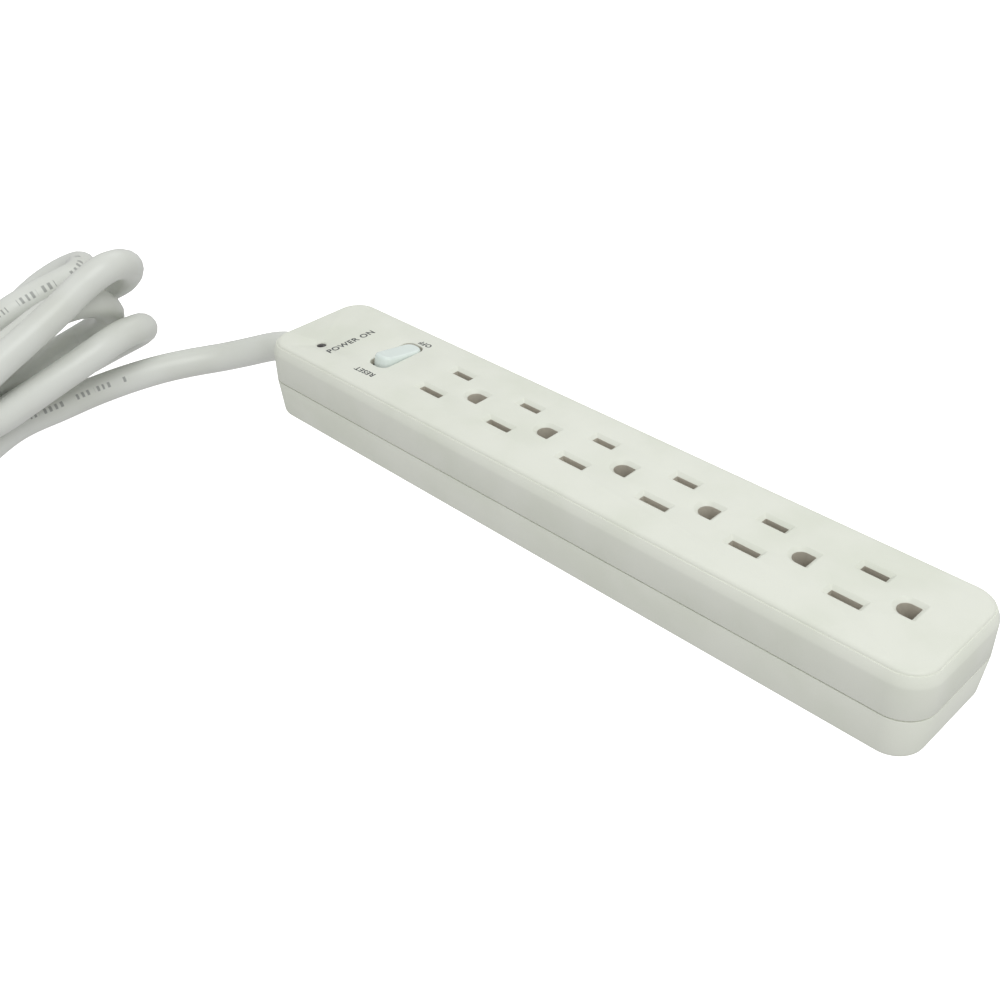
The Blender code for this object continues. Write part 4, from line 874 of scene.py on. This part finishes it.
class STRIP_OT_lamp(bpy.types.Operator):
    """Make the lamp's small domed lens, set just under the rim of its hole"""
    bl_idname = "strip.lamp"
    bl_label = "Lamp lens"

    def execute(self, context):
        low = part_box("indicator_lens")[0]
        foot = low[2] / MM
        profile = [(foot, 0.0), (foot, 2.2), (22.8, 2.2), (22.8, 1.42), (24.75, 1.42),
                   (24.88, 1.22), (24.97, 0.85), (25.02, 0.45), (25.04, 0.0)]
        bm = spun([(z * MM, radius * MM) for z, radius in profile], (*LAMP, 0.0), (0, 0, 1))
        # Tinted acrylic: almost black when the lamp is off, with a sharp highlight.
        look = moulded("tinted_acrylic_lens", "#120D0B", "#1A120F", 0.16, 1.5, 0.05,
                       Coat_Weight=0.5, Coat_Roughness=0.06)
        finish_piece("lamp_lens", bm, look, stands_for=("indicator_lens",))
        return {"FINISHED"}


class STRIP_OT_fittings(bpy.types.Operator):
    """Give every kept CAD node the material of the real piece"""
    bl_idname = "strip.fittings"
    bl_label = "Fittings"

    def execute(self, context):
        # Zinc plate: cool grey, with a scuffed, half-bright gloss.
        dress(metal("zinc_plated_steel", "#B9BBBD", "#8F9294", 0.32, 2.0),
              *[n for n in frame["nodes"] if "screw" in n])
        # Stamped brass strip: warm yellow, duller where it was worked.
        dress(metal("stamped_brass", "#D8B56A", "#B08D48", 0.30, 4.0),
              *[n for n in frame["nodes"] if "bus_bar" in n or "terminal" in n],
              "switch_contact_arm")
        # Glass-filled nylon: near black and matt.
        dress(moulded("glass_filled_nylon", "#2A2B2C", "#343536", 0.5, 0.5, 0.4),
              "cord_clamp", "switch_housing")
        # Pressed urea: stone grey and matt.
        dress(moulded("urea_insulator", "#B9B3A4", "#A8A291", 0.5, 0.7, 0.4), "contact_carrier")
        # Laminated epoxy glass with green solder mask.
        dress(moulded("epoxy_glass_board", "#2F6B3C", "#27592F", 0.45, 0.6, 0.4), "surge_board")
        # Dipped epoxy coat: blue, with a soft shine.
        dress(moulded("dipped_epoxy", "#2F4F8F", "#27437A", 0.3, 1.0, 0.3),
              "varistor_1", "varistor_2")
        # Glazed ceramic tube: off white and glossy.
        dress(moulded("glazed_ceramic", "#D9D6CC", "#C9C6BB", 0.25, 0.9, 0.2), "thermal_fuse")
        # Extruded vinyl on the leads inside: plain colours with a low shine.
        dress(moulded("vinyl_lead_black", "#1B1B1C", "#242426", 0.4, 0.8, 0.3),
              "line_lead", "load_lead")
        dress(moulded("vinyl_lead_white", "#E6E5E0", "#DAD9D3", 0.4, 0.8, 0.3), "neutral_lead")
        dress(moulded("vinyl_lead_green", "#2E7D44", "#276C3A", 0.4, 0.8, 0.3), "ground_lead")
        # Drawn glass lamp: a pale amber body with a sharp shine.
        dress(moulded("clear_glass_lamp", "#C7A98A", "#B39070", 0.1, 1.5, 0.05),
              "indicator_lamp")
        return {"FINISHED"}


class STRIP_PT_panel(bpy.types.Panel):
    """Lists the pieces in the order they are made"""
    bl_idname = "STRIP_PT_panel"
    bl_label = "Power strip"
    bl_space_type = "VIEW_3D"
    bl_region_type = "UI"
    bl_category = "Power strip"

    def draw(self, context):
        for name in StripSettings.__annotations__:
            self.layout.prop(context.scene.strip_settings, name)
        for operator in OPERATORS:
            self.layout.operator(operator.bl_idname)


OPERATORS = (STRIP_OT_stage, STRIP_OT_lead, STRIP_OT_tie, STRIP_OT_plug, STRIP_OT_top_cover,
             STRIP_OT_bottom_cover, STRIP_OT_rocker, STRIP_OT_lamp, STRIP_OT_print, STRIP_OT_fittings)
CLASSES = (StripSettings, *OPERATORS, STRIP_PT_panel)


def register():
    for cls in CLASSES:
        bpy.utils.register_class(cls)
    bpy.types.Scene.strip_settings = PointerProperty(type=StripSettings)


def unregister():
    del bpy.types.Scene.strip_settings
    for cls in reversed(CLASSES):
        bpy.utils.unregister_class(cls)


def declare_lead():
    """List the pieces that are on the lead; the list is not passed on."""
    pieces = [bpy.data.objects[n] for n in ("plug_moulding", "plug_sleeve", "hank_tie")]
    pieces += [frame["nodes"][n] for n in ("plug_hot_blade", "plug_neutral_blade",
                                           "plug_earth_pin")]


def main():
    register()
    for operator in OPERATORS:
        group, name = operator.bl_idname.split(".")
        getattr(getattr(bpy.ops, group), name)()
    declare_lead()


if __name__ == "__main__":
    main()
